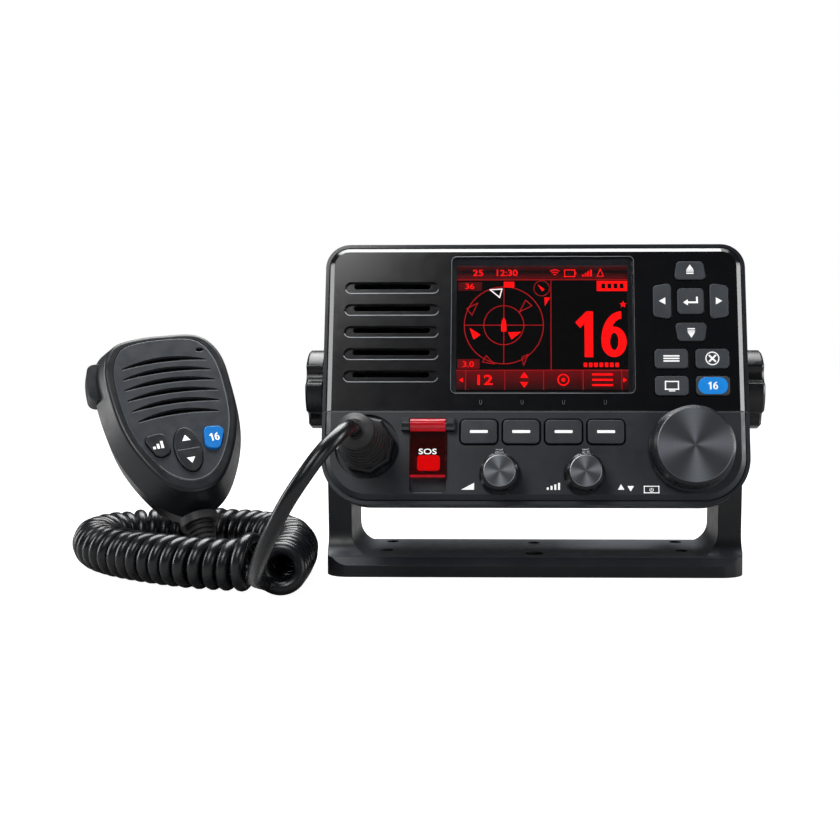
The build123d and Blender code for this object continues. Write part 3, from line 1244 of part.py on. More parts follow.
def mic_body(out, margin, bottom=MIC_BOTTOM):
    """Section of the microphone case at a distance out, inside its widest outline by the margin."""
    with BuildSketch(MIC.offset(out)) as section:
        add(egg_outline(MIC_TOP, bottom, MIC_HALF_WIDTH, MIC_WIDEST_Y, margin))
    return section.sketch


panel_shape = egg_outline(PANEL_TOP, PANEL_BOTTOM, PANEL_HALF_WIDTH, PANEL_WIDEST_Y)
panel_seat = egg_outline(PANEL_TOP, PANEL_BOTTOM, PANEL_HALF_WIDTH, PANEL_WIDEST_Y, margin=-SEAT_FIT * 2)
panel_hollow = egg_outline(PANEL_TOP, PANEL_BOTTOM, PANEL_HALF_WIDTH, PANEL_WIDEST_Y, margin=PANEL_LEDGE)
ptt_plane = Plane(origin=mic_point(-MIC_HALF_WIDTH, PTT_Y, PARTING), x_dir=MIC_UP, z_dir=MIC_ACROSS)


def shield_outline(side):
    """Shield-shaped microphone key, its point towards the rocker (side -1 left, +1 right)."""
    with BuildSketch() as shield:
        Polygon(*[(side * x, y) for x, y in MIC_KEY_CORNERS], align=None)
        fillet(shield.vertices(), MIC_KEY_RADIUS)
    return shield.sketch


MIC_KEYS = {
    "mic_key_power": (-MIC_KEY_X, shield_outline(-1)),
    "mic_key_sixteen": (MIC_KEY_X, shield_outline(1)),
}


def grille_slot(half_length):
    """Crescent-shaped slot, pointed at both ends."""
    with BuildSketch() as slot:
        with BuildLine():
            ThreePointArc((-half_length, 0), (0, GRILLE_RISE + GRILLE_SLOT), (half_length, 0))
            ThreePointArc((half_length, 0), (0, GRILLE_RISE), (-half_length, 0))
        make_face()
    return slot.sketch


with BuildPart() as mic_front_case:
    loft([mic_body(PARTING, 0.0).face(), mic_body(0.0, MIC_FRONT_INSET, MIC_FRONT_BOTTOM).face()])
    fillet(mic_front_case.faces().sort_by(MIC_AXIS)[-1].edges(), MIC_EDGE)
    loft(
        [
            mic_body(PARTING, MIC_WALL).face(),
            mic_body(-PANEL_THICK - MIC_WALL, MIC_WALL + MIC_FRONT_INSET / 2, MIC_FRONT_BOTTOM).face(),
        ],
        mode=Mode.SUBTRACT,
    )
    with BuildSketch(MIC.offset(-PANEL_THICK)):
        add(panel_seat)
    extrude(amount=MIC_FRONT_DEPTH, mode=Mode.SUBTRACT)
    with BuildSketch(MIC.offset(PARTING)):
        add(panel_hollow)
        for mic_key_x, mic_key_outline in MIC_KEYS.values():
            with Locations((mic_key_x, MIC_KEY_Y)):
                add(offset(mic_key_outline, amount=MIC_KEY_FLANGE + KEY_FIT, mode=Mode.PRIVATE))
    extrude(amount=MIC_FRONT_DEPTH, mode=Mode.SUBTRACT)
    with BuildSketch(ptt_plane):
        Rectangle(PTT_LENGTH + 2 * KEY_FIT, PTT_THICK + 2 * KEY_FIT)
    extrude(amount=MIC_HALF_WIDTH / 2, both=True, mode=Mode.SUBTRACT)
mic_front_case.part.label = "mic_front_case"
export_step(mic_front_case.part, "parts/mic_front_case.step")

with BuildPart() as mic_rear_case:
    loft([mic_body(PARTING, 0.0).face(), mic_body(MIC_BACK, MIC_REAR_INSET).face()])
    fillet(mic_rear_case.faces().sort_by(MIC_AXIS)[0].edges(), MIC_EDGE)
    loft(
        [
            mic_body(PARTING, MIC_WALL).face(),
            mic_body(MIC_BACK + MIC_WALL, MIC_WALL + MIC_REAR_INSET).face(),
        ],
        mode=Mode.SUBTRACT,
    )
    with BuildSketch(ptt_plane):
        Rectangle(PTT_LENGTH + 2 * KEY_FIT, PTT_THICK + 2 * KEY_FIT)
    extrude(amount=MIC_HALF_WIDTH / 2, both=True, mode=Mode.SUBTRACT)
    with BuildSketch(MIC.offset(MIC_BACK)):
        with Locations(*mic_screw_points):
            Circle(MIC_SCREW_RADIUS + SEAT_FIT)
    extrude(amount=MIC_SCREW_RECESS, mode=Mode.SUBTRACT)
mic_rear_case.part.label = "mic_rear_case"
export_step(mic_rear_case.part, "parts/mic_rear_case.step")

with BuildPart() as mic_front_panel:
    with BuildSketch(MIC.offset(-PANEL_THICK)):
        add(panel_shape)
        for row, slot_half_length in enumerate(GRILLE_HALF_LENGTHS):
            with Locations((0, GRILLE_TOP - GRILLE_PITCH * row - GRILLE_RISE)):
                add(grille_slot(slot_half_length), mode=Mode.SUBTRACT)
        for mic_key_x, mic_key_outline in MIC_KEYS.values():
            with Locations((mic_key_x, MIC_KEY_Y)):
                add(offset(mic_key_outline, amount=KEY_FIT, mode=Mode.PRIVATE), mode=Mode.SUBTRACT)
        Ellipse(ROCKER_HALF_WIDTH + KEY_FIT, ROCKER_HALF_HEIGHT + KEY_FIT, mode=Mode.SUBTRACT)
        with Locations((MIC_EAR_X, MIC_EAR_Y)):
            Ellipse(MIC_EAR_WIDTH / 2, MIC_EAR_HEIGHT / 2, mode=Mode.SUBTRACT)
    extrude(amount=PANEL_THICK)
mic_front_panel.part.label = "mic_front_panel"
export_step(mic_front_panel.part, "parts/mic_front_panel.step")

MIC_FLANGE_FRONT = PANEL_THICK + BODY_GAP
for mic_key_name, (mic_key_x, mic_key_outline) in MIC_KEYS.items():
    with BuildPart() as mic_key:
        with BuildSketch(MIC.offset(-MIC_FLANGE_FRONT - KEY_FLANGE_THICK)):
            with Locations((mic_key_x, MIC_KEY_Y)):
                add(offset(mic_key_outline, amount=MIC_KEY_FLANGE, mode=Mode.PRIVATE))
        extrude(amount=KEY_FLANGE_THICK)
        with BuildSketch(MIC.offset(-MIC_FLANGE_FRONT - KEY_FLANGE_THICK)):
            with Locations((mic_key_x, MIC_KEY_Y)):
                add(mic_key_outline)
        extrude(amount=MIC_FLANGE_FRONT + KEY_FLANGE_THICK + MIC_KEY_PROUD)
        fillet(mic_key.faces().sort_by(MIC_AXIS)[-1].edges(), KEY_EDGE)
    mic_key.part.label = mic_key_name
    export_step(mic_key.part, f"parts/{mic_key_name}.step")

with BuildPart() as mic_rocker:
    with BuildSketch(MIC.offset(-MIC_FLANGE_FRONT - KEY_FLANGE_THICK)):
        Ellipse(ROCKER_HALF_WIDTH, ROCKER_HALF_HEIGHT)
    extrude(amount=MIC_FLANGE_FRONT + KEY_FLANGE_THICK + ROCKER_PROUD)
    fillet(mic_rocker.faces().sort_by(MIC_AXIS)[-1].edges(), KEY_EDGE)
    with BuildSketch(Plane(origin=mic_point(0, 0, -ROCKER_PIVOT), x_dir=MIC_UP, z_dir=MIC_ACROSS)):
        Circle(ROCKER_PIN)
    extrude(amount=ROCKER_HALF_WIDTH + ROCKER_PIN_REACH, both=True)
mic_rocker.part.label = "mic_rocker"
export_step(mic_rocker.part, "parts/mic_rocker.step")

MIC_BOARD_AT = MIC_FRONT_DEPTH
with BuildSketch() as ptt_pocket:
    add(egg_outline(MIC_TOP, MIC_BOTTOM, MIC_HALF_WIDTH, MIC_WIDEST_Y))
    add(
        egg_outline(
            MIC_TOP, MIC_BOTTOM, MIC_HALF_WIDTH, MIC_WIDEST_Y, margin=PTT_INSIDE + PTT_TRAVEL + BODY_GAP
        ),
        mode=Mode.SUBTRACT,
    )
    with Locations((-MIC_HALF_WIDTH, PTT_Y)):
        Rectangle(3 * MIC_HALF_WIDTH / 2, PTT_LENGTH + 2 * PTT_TRAVEL, mode=Mode.INTERSECT)
ptt_clearance = ptt_pocket.sketch
with BuildPart() as mic_board:
    with BuildSketch(MIC.offset(-MIC_BOARD_AT)):
        add(egg_outline(MIC_TOP, MIC_BOTTOM, MIC_HALF_WIDTH, MIC_WIDEST_Y, margin=MIC_WALL + MIC_BOARD_GAP))
        add(ptt_clearance, mode=Mode.SUBTRACT)
    extrude(amount=-MIC_BOARD_THICK)
    with BuildSketch(MIC.offset(-MIC_BOARD_AT)):
        with Locations((0, MIC_KEY_Y / 2)):
            Rectangle(MIC_RISER_WIDTH, MIC_RISER_HEIGHT)
    extrude(amount=MIC_BOARD_AT - MIC_FLANGE_FRONT - KEY_FLANGE_THICK - MIC_KEY_TRAVEL - 2 * BODY_GAP)
mic_board.part.label = "mic_board"
export_step(mic_board.part, "parts/mic_board.step")

with BuildPart() as mic_speaker:
    with BuildSketch(MIC.offset(-PANEL_THICK - SEAT_FIT)):
        with Locations((0, GRILLE_TOP - GRILLE_PITCH * (len(GRILLE_HALF_LENGTHS) - 1) / 2)):
            Circle(MIC_SPEAKER_RADIUS)
    extrude(amount=-MIC_SPEAKER_DEPTH)
mic_speaker.part.label = "mic_speaker"
export_step(mic_speaker.part, "parts/mic_speaker.step")

with BuildPart() as ptt_button:
    with BuildSketch(MIC.offset(PARTING - PTT_THICK / 2)) as ptt_shape:
        add(egg_outline(MIC_TOP, MIC_BOTTOM, MIC_HALF_WIDTH, MIC_WIDEST_Y, margin=-PTT_PROUD))
        add(
            egg_outline(MIC_TOP, MIC_BOTTOM, MIC_HALF_WIDTH, MIC_WIDEST_Y, margin=PTT_INSIDE),
            mode=Mode.SUBTRACT,
        )
        with Locations((-MIC_HALF_WIDTH, PTT_Y)):
            Rectangle(MIC_HALF_WIDTH, PTT_LENGTH, mode=Mode.INTERSECT)
        fillet(ptt_shape.vertices().sort_by(Axis.X)[:2], PTT_CORNER)
    extrude(amount=PTT_THICK)
ptt_button.part.label = "ptt_button"
export_step(ptt_button.part, "parts/ptt_button.step")

with BuildPart() as mic_hanger:
    with BuildSketch(MIC.offset(MIC_BACK)):
        with Locations((0, HANGER_Y)):
            Circle(HANGER_NECK_RADIUS)
    extrude(amount=-HANGER_NECK)
    with BuildSketch(MIC.offset(MIC_BACK - HANGER_NECK)):
        with Locations((0, HANGER_Y)):
            Circle(HANGER_RADIUS)
    extrude(amount=-HANGER_HEAD)
    chamfer(mic_hanger.faces().sort_by(MIC_AXIS)[0].edges(), HANGER_CHAMFER)
mic_hanger.part.label = "mic_hanger"
export_step(mic_hanger.part, "parts/mic_hanger.step")

with BuildPart() as mic_screws:
    with BuildSketch(MIC.offset(MIC_BACK + MIC_SCREW_RECESS)):
        with Locations(*mic_screw_points):
            Circle(MIC_SCREW_RADIUS)
    extrude(amount=-MIC_SCREW_HEAD)
mic_screws.part.label = "mic_screws"
export_step(mic_screws.part, "parts/mic_screws.step")

MIC_BOOT_FRAME = Plane(origin=mic_point(0, MIC_BOTTOM, -BOOT_OUT), x_dir=MIC_ACROSS, z_dir=MIC_OUT)
with BuildPart() as mic_boot:
    with BuildSketch(MIC_BOOT_FRAME):
        with BuildLine():
            ribs_length = MIC_BOOT_LENGTH - MIC_BOOT_COLLAR
            ribs_side = ribbed_profile(
                MIC_BOOT_WIDE, MIC_BOOT_SLIM, ribs_length, MIC_BOOT_RIBS, MIC_BOOT_COLLAR
            )
            collar_side = [(0, 0), (MIC_BOOT_COLLAR_RADIUS, 0), (MIC_BOOT_COLLAR_RADIUS, MIC_BOOT_COLLAR)]
            boot_side = [*collar_side, *ribs_side[1:], (0, MIC_BOOT_LENGTH)]
            Polyline(*[(radius, -distance) for radius, distance in boot_side], close=True)
        make_face()
    revolve(axis=Axis(MIC_BOOT_FRAME.origin, MIC_UP))
mic_boot.part.label = "mic_boot"
export_step(mic_boot.part, "parts/mic_boot.step")


# ---- cord -----------------------------------------------------------------------------------------


def rounded_path(points):
    """Straight runs joined by the largest tangent arcs that the runs allow."""
    radii = []
    for before, here, after in zip(points, points[1:], points[2:]):
        shorter = min((here - before).length, (after - here).length)
        turn = radians((here - before).get_angle(after - here))
        radii.append(0.45 * shorter / tan(turn / 2))
    print("radii", [round(radius, 1) for radius in radii])
    return FilletPolyline(*points, radius=radii)


def make_cord(name, points, radius):
    """Round cord or coil envelope along a route of points."""
    start = points[0]
    with BuildPart() as cord:
        with BuildLine():
            route = rounded_path(points)
        with BuildSketch(Plane(origin=start, z_dir=points[1] - start)):
            Circle(radius)
        sweep(path=route)
    tube_volume = pi * radius**2 * route.length
    print(name, "length", round(route.length, 1), "volume share", round(cord.part.volume / tube_volume, 3))
    cord.part.label = name
    export_step(cord.part, f"parts/{name}.step")


COIL_Z = COIL_RADIUS + FLOOR_GAP
coil_route = [
    Vector(-112.0, -59.0, COIL_Z),
    Vector(-129.0, -56.0, COIL_Z),
    Vector(-145.0, -49.5, COIL_Z),
    Vector(-163.5, -38.5, COIL_Z),
    Vector(-181.0, -24.5, COIL_Z),
    Vector(-192.5, -7.0, COIL_Z),
    Vector(-194.0, 9.5, COIL_Z),
    Vector(-185.0, 23.5, COIL_Z),
    Vector(-166.5, 30.0, COIL_Z),
    Vector(-145.0, 29.5, COIL_Z),
    Vector(-126.0, 24.0, COIL_Z),
    Vector(-112.0, 11.0, COIL_Z),
    Vector(-104.5, -8.0, COIL_Z),
    Vector(-101.5, -28.0, COIL_Z),
    Vector(-99.8, -48.0, COIL_Z),
    Vector(-99.4, -68.0, COIL_Z),
]
make_cord("cord_coil", coil_route, COIL_RADIUS)

plug_end = face_point(SOCKET_X, SOCKET_Y, BOOT_END)
lead_route = [
    plug_end,
    plug_end + OUTWARD * 11.6,
    Vector(-70.4, -109.4, 66.9),
    Vector(-75.6, -116.3, 61.2),
    Vector(-82.2, -119.2, 51.7),
    Vector(-88.2, -117.7, 42.8),
    Vector(-94.0, -114.0, 32.3),
    Vector(-99.4, -103.9, 22.7),
    Vector(-105.5, -77.7, 21.0),
    Vector(-107.0, -67.0, COIL_Z),
]
make_cord("cord_lead", lead_route, CORD_RADIUS)

tail_start = MIC_BOOT_FRAME.origin - MIC_UP * MIC_BOOT_LENGTH
tail_route = [
    tail_start,
    tail_start - MIC_UP * 4.2,
    Vector(-136.1, -29.2, 8.3),
    Vector(-134.0, -31.9, 5.9),
    Vector(-131.4, -35.2, 4.1),
    Vector(-128.7, -38.7, 3.3),
    Vector(-122.8, -45.3, 3.1),
    Vector(-116.2, -50.9, 3.1),
    Vector(-112.4, -57.4, 3.1),
]
make_cord("cord_tail", tail_route, CORD_RADIUS)
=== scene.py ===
import json
import math

import bmesh
import bpy
from mathutils import Matrix, Vector
from mathutils.geometry import convex_hull_2d

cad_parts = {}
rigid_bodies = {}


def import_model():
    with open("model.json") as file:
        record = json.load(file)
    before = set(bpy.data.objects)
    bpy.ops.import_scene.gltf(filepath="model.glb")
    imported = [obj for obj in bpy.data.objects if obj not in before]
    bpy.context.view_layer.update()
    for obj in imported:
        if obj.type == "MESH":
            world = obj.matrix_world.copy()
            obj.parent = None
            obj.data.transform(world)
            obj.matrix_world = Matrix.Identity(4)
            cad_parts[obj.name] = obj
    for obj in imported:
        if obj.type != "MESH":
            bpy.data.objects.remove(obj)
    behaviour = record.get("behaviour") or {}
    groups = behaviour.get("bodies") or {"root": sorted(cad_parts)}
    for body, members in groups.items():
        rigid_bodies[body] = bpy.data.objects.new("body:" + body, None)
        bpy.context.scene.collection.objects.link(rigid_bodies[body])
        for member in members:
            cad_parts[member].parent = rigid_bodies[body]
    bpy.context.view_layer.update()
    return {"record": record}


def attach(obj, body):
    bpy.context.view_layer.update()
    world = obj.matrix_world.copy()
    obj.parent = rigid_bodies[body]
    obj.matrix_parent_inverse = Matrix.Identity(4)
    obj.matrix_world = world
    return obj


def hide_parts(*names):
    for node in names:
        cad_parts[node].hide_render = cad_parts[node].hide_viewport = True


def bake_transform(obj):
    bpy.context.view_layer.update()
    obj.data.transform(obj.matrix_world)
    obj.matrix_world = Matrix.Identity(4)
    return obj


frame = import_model()
MM = 0.001

# ---------------------------------------------------------------- places on the object
TILT = math.radians(14.0)
OUT = Vector((0, -math.cos(TILT), math.sin(TILT)))
UP = Vector((0, math.sin(TILT), math.cos(TILT)))
ACROSS = Vector((1, 0, 0))
VERTICAL = Vector((0, 0, 1))
TILT_AXIS = Vector((0, 0, 78.0))
FACE = TILT_AXIS + OUT * 41.0 - UP * 0.8

MIC_TURN, MIC_LEAN, MIC_ROLL = (math.radians(a) for a in (24.6, 32.2, 7.5))
MIC_OUT = Vector((
    math.sin(MIC_TURN) * math.cos(MIC_LEAN),
    -math.cos(MIC_TURN) * math.cos(MIC_LEAN),
    math.sin(MIC_LEAN),
))
LEVEL = Vector((math.cos(MIC_TURN), math.sin(MIC_TURN), 0))
RISE = MIC_OUT.cross(LEVEL)
MIC_ACROSS = LEVEL * math.cos(MIC_ROLL) + RISE * math.sin(MIC_ROLL)
MIC_UP = MIC_OUT.cross(MIC_ACROSS)
MIC_AT = Vector((-147.1, -19.8, 53.1))

# Places on the radio's face, in millimetres across it, up it and out of it.
PLATE_LINE = -16.4
DIAL_X, DIAL_Y = 62.3, -32.2
KNOB_X = {"volume_knob": -14.1, "squelch_knob": 19.6}
KNOB_Y = -42.4
HINGE_Y, HINGE_OUT = -22.2, 0.9
SLOT_X, SLOT_YS = -58.7, (-2.06, 7.22, 16.5, 25.78, 35.06)
WINDOW_X, WINDOW_Y = 3.15, 19.55
SCREEN_LEFT, SCREEN_RIGHT = -32.0, 37.8
SCREEN_FOOT, SCREEN_TOP = -7.3, 44.7
KEYS_TOP, STATUS_FOOT = 0.8, 38.8
SPLIT_X = 6.57
COMPASS_X, COMPASS_Y = -12.74, 19.64
SCREEN_OUT = -2.28


class Place:
    """A flat frame on the object: x, y and out in millimetres to a point in metres."""

    def __init__(self, origin, across, up, out):
        self.origin, self.across, self.up, self.out = origin, across, up, out

    def at(self, x, y, out=0.0):
        return (self.origin + self.across * x + self.up * y + self.out * out) * MM

    def matrix(self, x, y, out=0.0):
        turn = Matrix((self.across, self.up, self.out)).transposed().to_4x4()
        return Matrix.Translation(self.at(x, y, out)) @ turn

    def span(self, node):
        """Lowest and highest x, y and out of a CAD node, in millimetres."""
        points = [v.co / MM - self.origin for v in bpy.data.objects[node].data.vertices]
        sides = []
        for axis in (self.across, self.up, self.out):
            along = [p.dot(axis) for p in points]
            sides.append((min(along), max(along)))
        return sides

    def middle(self, node):
        """Middle of a CAD node across and up, and its top."""
        (x0, x1), (y0, y1), (_, top) = self.span(node)
        return (x0 + x1) / 2, (y0 + y1) / 2, top


RADIO = Place(FACE, ACROSS, UP, OUT)
MIC = Place(MIC_AT, MIC_ACROSS, MIC_UP, MIC_OUT)

# ---------------------------------------------------------------- camera
# Fitted to the photo: the eye in millimetres, its turns in degrees.
EYE = Vector((-5.27, -565.05, 104.25))
YAW, PITCH, ROLL = (math.radians(a) for a in (-1.24, 4.027, -0.064))
FOCAL_LENGTH, SENSOR_WIDTH, SIDE_SHIFT = 55.49, 36.0, -0.0882

forward = Vector((
    math.sin(YAW) * math.cos(PITCH),
    math.cos(YAW) * math.cos(PITCH),
    -math.sin(PITCH),
))
level_right = forward.cross(VERTICAL).normalized()
level_above = level_right.cross(forward)
right = level_right * math.cos(ROLL) + level_above * math.sin(ROLL)
above = level_above * math.cos(ROLL) - level_right * math.sin(ROLL)
lens = bpy.data.cameras.new("camera")
lens.lens = FOCAL_LENGTH
lens.sensor_width = SENSOR_WIDTH
lens.shift_x = SIDE_SHIFT
lens.clip_start = 0.01
camera = bpy.data.objects.new("camera", lens)
camera.matrix_world = (
    Matrix.Translation(EYE * MM) @ Matrix((right, above, -forward)).transposed().to_4x4()
)
bpy.context.collection.objects.link(camera)
bpy.context.scene.camera = camera

# ---------------------------------------------------------------- materials
materials = {}


def toned(colour, factor=1.0):
    """A colour made darker or lighter, as red, green, blue and alpha."""
    return (*(min(1.0, c * factor) for c in colour), 1.0)


class Nodes:
    """Small builder of a material's shader tree."""

    def __init__(self, name):
        self.name = name
        self.material = bpy.data.materials.new(name)
        self.material.use_nodes = True
        self.tree = self.material.node_tree
        self.tree.nodes.clear()
        self.output = self.add("ShaderNodeOutputMaterial")
        self.place = self.add("ShaderNodeTexCoord").outputs["Object"]

    def add(self, kind, inputs=None, **settings):
        node = self.tree.nodes.new(kind)
        for key, value in settings.items():
            setattr(node, key, value)
        for key, value in (inputs or {}).items():
            self.put(node.inputs[key], value)
        return node

    def put(self, socket, value):
        if isinstance(value, bpy.types.NodeSocket):
            self.tree.links.new(value, socket)
        else:
            socket.default_value = value

    def noise(self, scale, detail=2.0, stretch=None, distortion=0.0):
        place = self.place
        if stretch:
            place = self.add("ShaderNodeMapping", {"Vector": place, "Scale": stretch}).outputs["Vector"]
        return self.add(
            "ShaderNodeTexNoise",
            {"Vector": place, "Scale": scale, "Detail": detail, "Distortion": distortion},
        ).outputs["Fac"]

    def math(self, operation, a, b=0.0):
        return self.add("ShaderNodeMath", {0: a, 1: b}, operation=operation).outputs[0]

    def vector(self, operation, inputs, output="Value"):
        node = self.add("ShaderNodeVectorMath", dict(enumerate(inputs)), operation=operation)
        return node.outputs[output]

    def ramp(self, value, low, high, to_low=0.0, to_high=1.0):
        return self.add(
            "ShaderNodeMapRange",
            {"Value": value, "From Min": low, "From Max": high, "To Min": to_low, "To Max": to_high},
        ).outputs["Result"]

    def spread(self, noise, to_low=0.0, to_high=1.0):
        """Map a noise, whose values lie mostly between 0.3 and 0.7, to another range."""
        return self.ramp(noise, 0.3, 0.7, to_low, to_high)

    def around(self, noise, value, change):
        """A value that wanders up and down with a noise."""
        return self.spread(noise, value - change, value + change)

    def mix(self, factor, a, b):
        # Sockets 6 and 7 are the node's colours, and output 2 is their mix.
        node = self.add("ShaderNodeMix", {"Factor": factor, 6: a, 7: b}, data_type="RGBA")
        return node.outputs[2]

    def mottled(self, noise, colour, mottle):
        """A colour that wanders darker and lighter with a noise."""
        return self.mix(self.spread(noise), toned(colour, 1 - mottle), toned(colour, 1 + mottle))

    def rounded(self, radius):
        """Normal of a surface with its edges rounded."""
        return self.add("ShaderNodeBevel", {"Radius": radius}, samples=4).outputs["Normal"]

    def near_edge(self, rounded):
        """How near an edge is: 0 where the rounded normal is the true one, 1 on the edge."""
        true = self.add("ShaderNodeNewGeometry").outputs["Normal"]
        return self.ramp(self.vector("DOT_PRODUCT", (rounded, true)), 0.995, 0.8)

    def bump(self, height, strength, distance, normal=None):
        node = self.add("ShaderNodeBump", {"Height": height, "Strength": strength, "Distance": distance})
        if normal:
            self.put(node.inputs["Normal"], normal)
        return node.outputs["Normal"]

    def height(self, origin, axis):
        """Height of a point above a plane, in metres."""
        shift = self.vector("SUBTRACT", (self.place, tuple(origin)), "Vector")
        return self.vector("DOT_PRODUCT", (shift, tuple(axis)))

    def fade(self, height, start, end, to_low=0.0, to_high=1.0):
        """Change from one value to another between two heights, which are in millimetres."""
        return self.ramp(height, start * MM, end * MM, to_low, to_high)

    def principled(self, inputs):
        return self.add("ShaderNodeBsdfPrincipled", inputs).outputs["BSDF"]

    def keep(self, shader):
        """Make a shader the surface, and keep the material under its name."""
        self.put(self.output.inputs["Surface"], shader)
        materials[self.name] = self.material


def finish(
    name, colour, rough, metallic=0.0, mottle=0.14, mottle_scale=70.0, grain=2400.0, grain_depth=0.000012,
    grain_strength=0.35, rough_change=0.06, edge=0.0003, wear_and_edge_highlight=1.5, stretch=None, painted_glow=0.0, dust_and_top_light=1.0, **shader
):
    """Moulded, cast or rubber surface: mottled colour, fine grain, rounded edges lighter, partly worn and
    partly a painted edge highlight.

    A factor above 1 lightens what faces up: partly dusty, partly painted top light. Another setting lets
    printing shine in its own colour: painted light, as no lamp is in it."""
    n = Nodes(name)
    clouds = n.noise(mottle_scale, 4.0)
    specks = n.noise(grain, 2.0, stretch)
    bevel = n.rounded(edge)
    mask = n.near_edge(bevel)
    base = n.mottled(clouds, colour, mottle)
    base = n.mix(n.ramp(specks, 0.35, 0.75, 0.0, 0.35), base, toned(colour, 1.35))
    # Faces that point up are made lighter: painted top light, and partly dusty.
    if dust_and_top_light > 1.0:
        normal = n.add("ShaderNodeNewGeometry").outputs["Normal"]
        level = n.add("ShaderNodeSeparateXYZ", {"Vector": normal}).outputs["Z"]
        top_lightening = n.math("MULTIPLY", n.ramp(level, 0.6, 1.0), n.spread(clouds, 0.8, 1.0))
        base = n.mix(top_lightening, base, toned(colour, dust_and_top_light))
    # Rounded edges are lightened: partly worn, partly a painted edge highlight.
    base = n.mix(n.math("MULTIPLY", mask, 0.5), base, toned(colour, wear_and_edge_highlight))
    roughness = n.around(n.noise(mottle_scale * 3.1, 5.0), rough, rough_change)
    roughness = n.math("ADD", roughness, n.math("MULTIPLY", mask, -0.04))
    # Painted light: the surface shines in its own colour, though no lamp is in it.
    if painted_glow:
        shader |= {"Emission Color": base, "Emission Strength": painted_glow}
    n.keep(n.principled({
        "Base Color": base, "Roughness": roughness, "Metallic": metallic,
        "Normal": n.bump(specks, grain_strength, grain_depth, bevel), **shader,
    }))


def brushed(name, colour, rough):
    """Metal with fine parallel lines."""
    finish(name, colour, rough, metallic=1.0, mottle=0.08, grain=2600.0, stretch=(1, 1, 0.04),
           grain_depth=0.000006, grain_strength=0.3, edge=0.00025, wear_and_edge_highlight=1.2)


PICTURE_DOTS = 5000.0


def shining(n, base, strength):
    """Keep a material of the display that shines in its own colour."""
    n.keep(n.principled({
        "Base Color": base, "Roughness": 0.5, "Specular IOR Level": 0.1, "Emission Color": base,
        "Emission Strength": strength,
    }))


def lit(name, colour, strength):
    """Lit part of the display, with a faint pattern of picture dots."""
    n = Nodes(name)
    shining(n, n.mix(n.spread(n.noise(PICTURE_DOTS, 1.0)), toned(colour, 0.85), toned(colour)), strength)


def lit_bands(name):
    """Bars of the display that fade from dark red to black up and down."""
    n = Nodes(name)
    height = n.height(RADIO.at(0, 0), UP)
    status = n.math(
        "MAXIMUM", n.fade(height, 42.5, 44.8, 0.0, 0.5), n.fade(height, 42.0, STATUS_FOOT, 0.0, 0.7)
    )
    status = n.math("MULTIPLY", status, n.fade(height, 38.4, 38.6))
    keys = n.math("MULTIPLY", n.fade(height, -7.2, KEYS_TOP, 0.1, 0.9), n.fade(height, 8.0, 7.0))
    plain = n.math("MULTIPLY", n.fade(height, KEYS_TOP, 1.2, 0.0, 0.45), n.fade(height, 38.4, 38.0))
    level = n.math("MAXIMUM", n.math("MAXIMUM", status, keys), plain)
    level = n.math("MULTIPLY", level, n.spread(n.noise(PICTURE_DOTS, 1.0), 0.85, 1.0))
    shining(n, n.mix(level, (0.003, 0.0, 0.0, 1), (0.13, 0.0, 0.001, 1)), 1.0)


def clear_red(name):
    """See-through red, solid at the hinge barrel and the lifting lip, which a faint painted red light makes
    brighter.
    """
    n = Nodes(name)
    height = n.height(RADIO.at(0, 0), UP)
    barrel = n.fade(height, -25.2, -24.8)
    lip = n.fade(height, -42.5, -42.9)
    solid = n.math("MAXIMUM", barrel, lip)
    scratches = n.noise(900.0, 4.0, (1, 1, 0.1))
    base = n.mix(n.spread(n.noise(300.0, 3.0)), (0.5, 0.004, 0.012, 1), (0.62, 0.008, 0.02, 1))
    rough = n.ramp(scratches, 0.35, 0.7, 0.05, 0.14)
    bump = n.bump(scratches, 0.1, 0.00001, n.rounded(0.0003))
    see = n.principled({
        "Base Color": (0.85, 0.02, 0.03, 1), "Roughness": rough, "Transmission Weight": 1.0, "IOR": 1.45,
        "Normal": bump,
    })
    # Painted light: the solid barrel and lip shine faintly red in their own colour.
    solid_lit_shader = n.principled({
        "Base Color": base, "Roughness": rough, "Coat Weight": 0.5, "Coat Roughness": 0.08,
        "Emission Color": (0.6, 0.0, 0.01, 1), "Emission Strength": 0.12, "Normal": bump,
    })
    n.keep(n.add("ShaderNodeMixShader", {0: solid, 1: see, 2: solid_lit_shader}).outputs["Shader"])


def window_glass(name):
    """Clear cover of the display, with fine wipe marks."""
    n = Nodes(name)
    wipe = n.noise(160.0, 5.0, (1, 1, 0.3), 0.4)
    n.keep(n.principled({
        "Base Color": (0.92, 0.94, 0.96, 1), "Roughness": n.ramp(wipe, 0.3, 0.75, 0.0, 0.03),
        "Transmission Weight": 1.0, "IOR": 1.42, "Normal": n.rounded(0.0004),
    }))


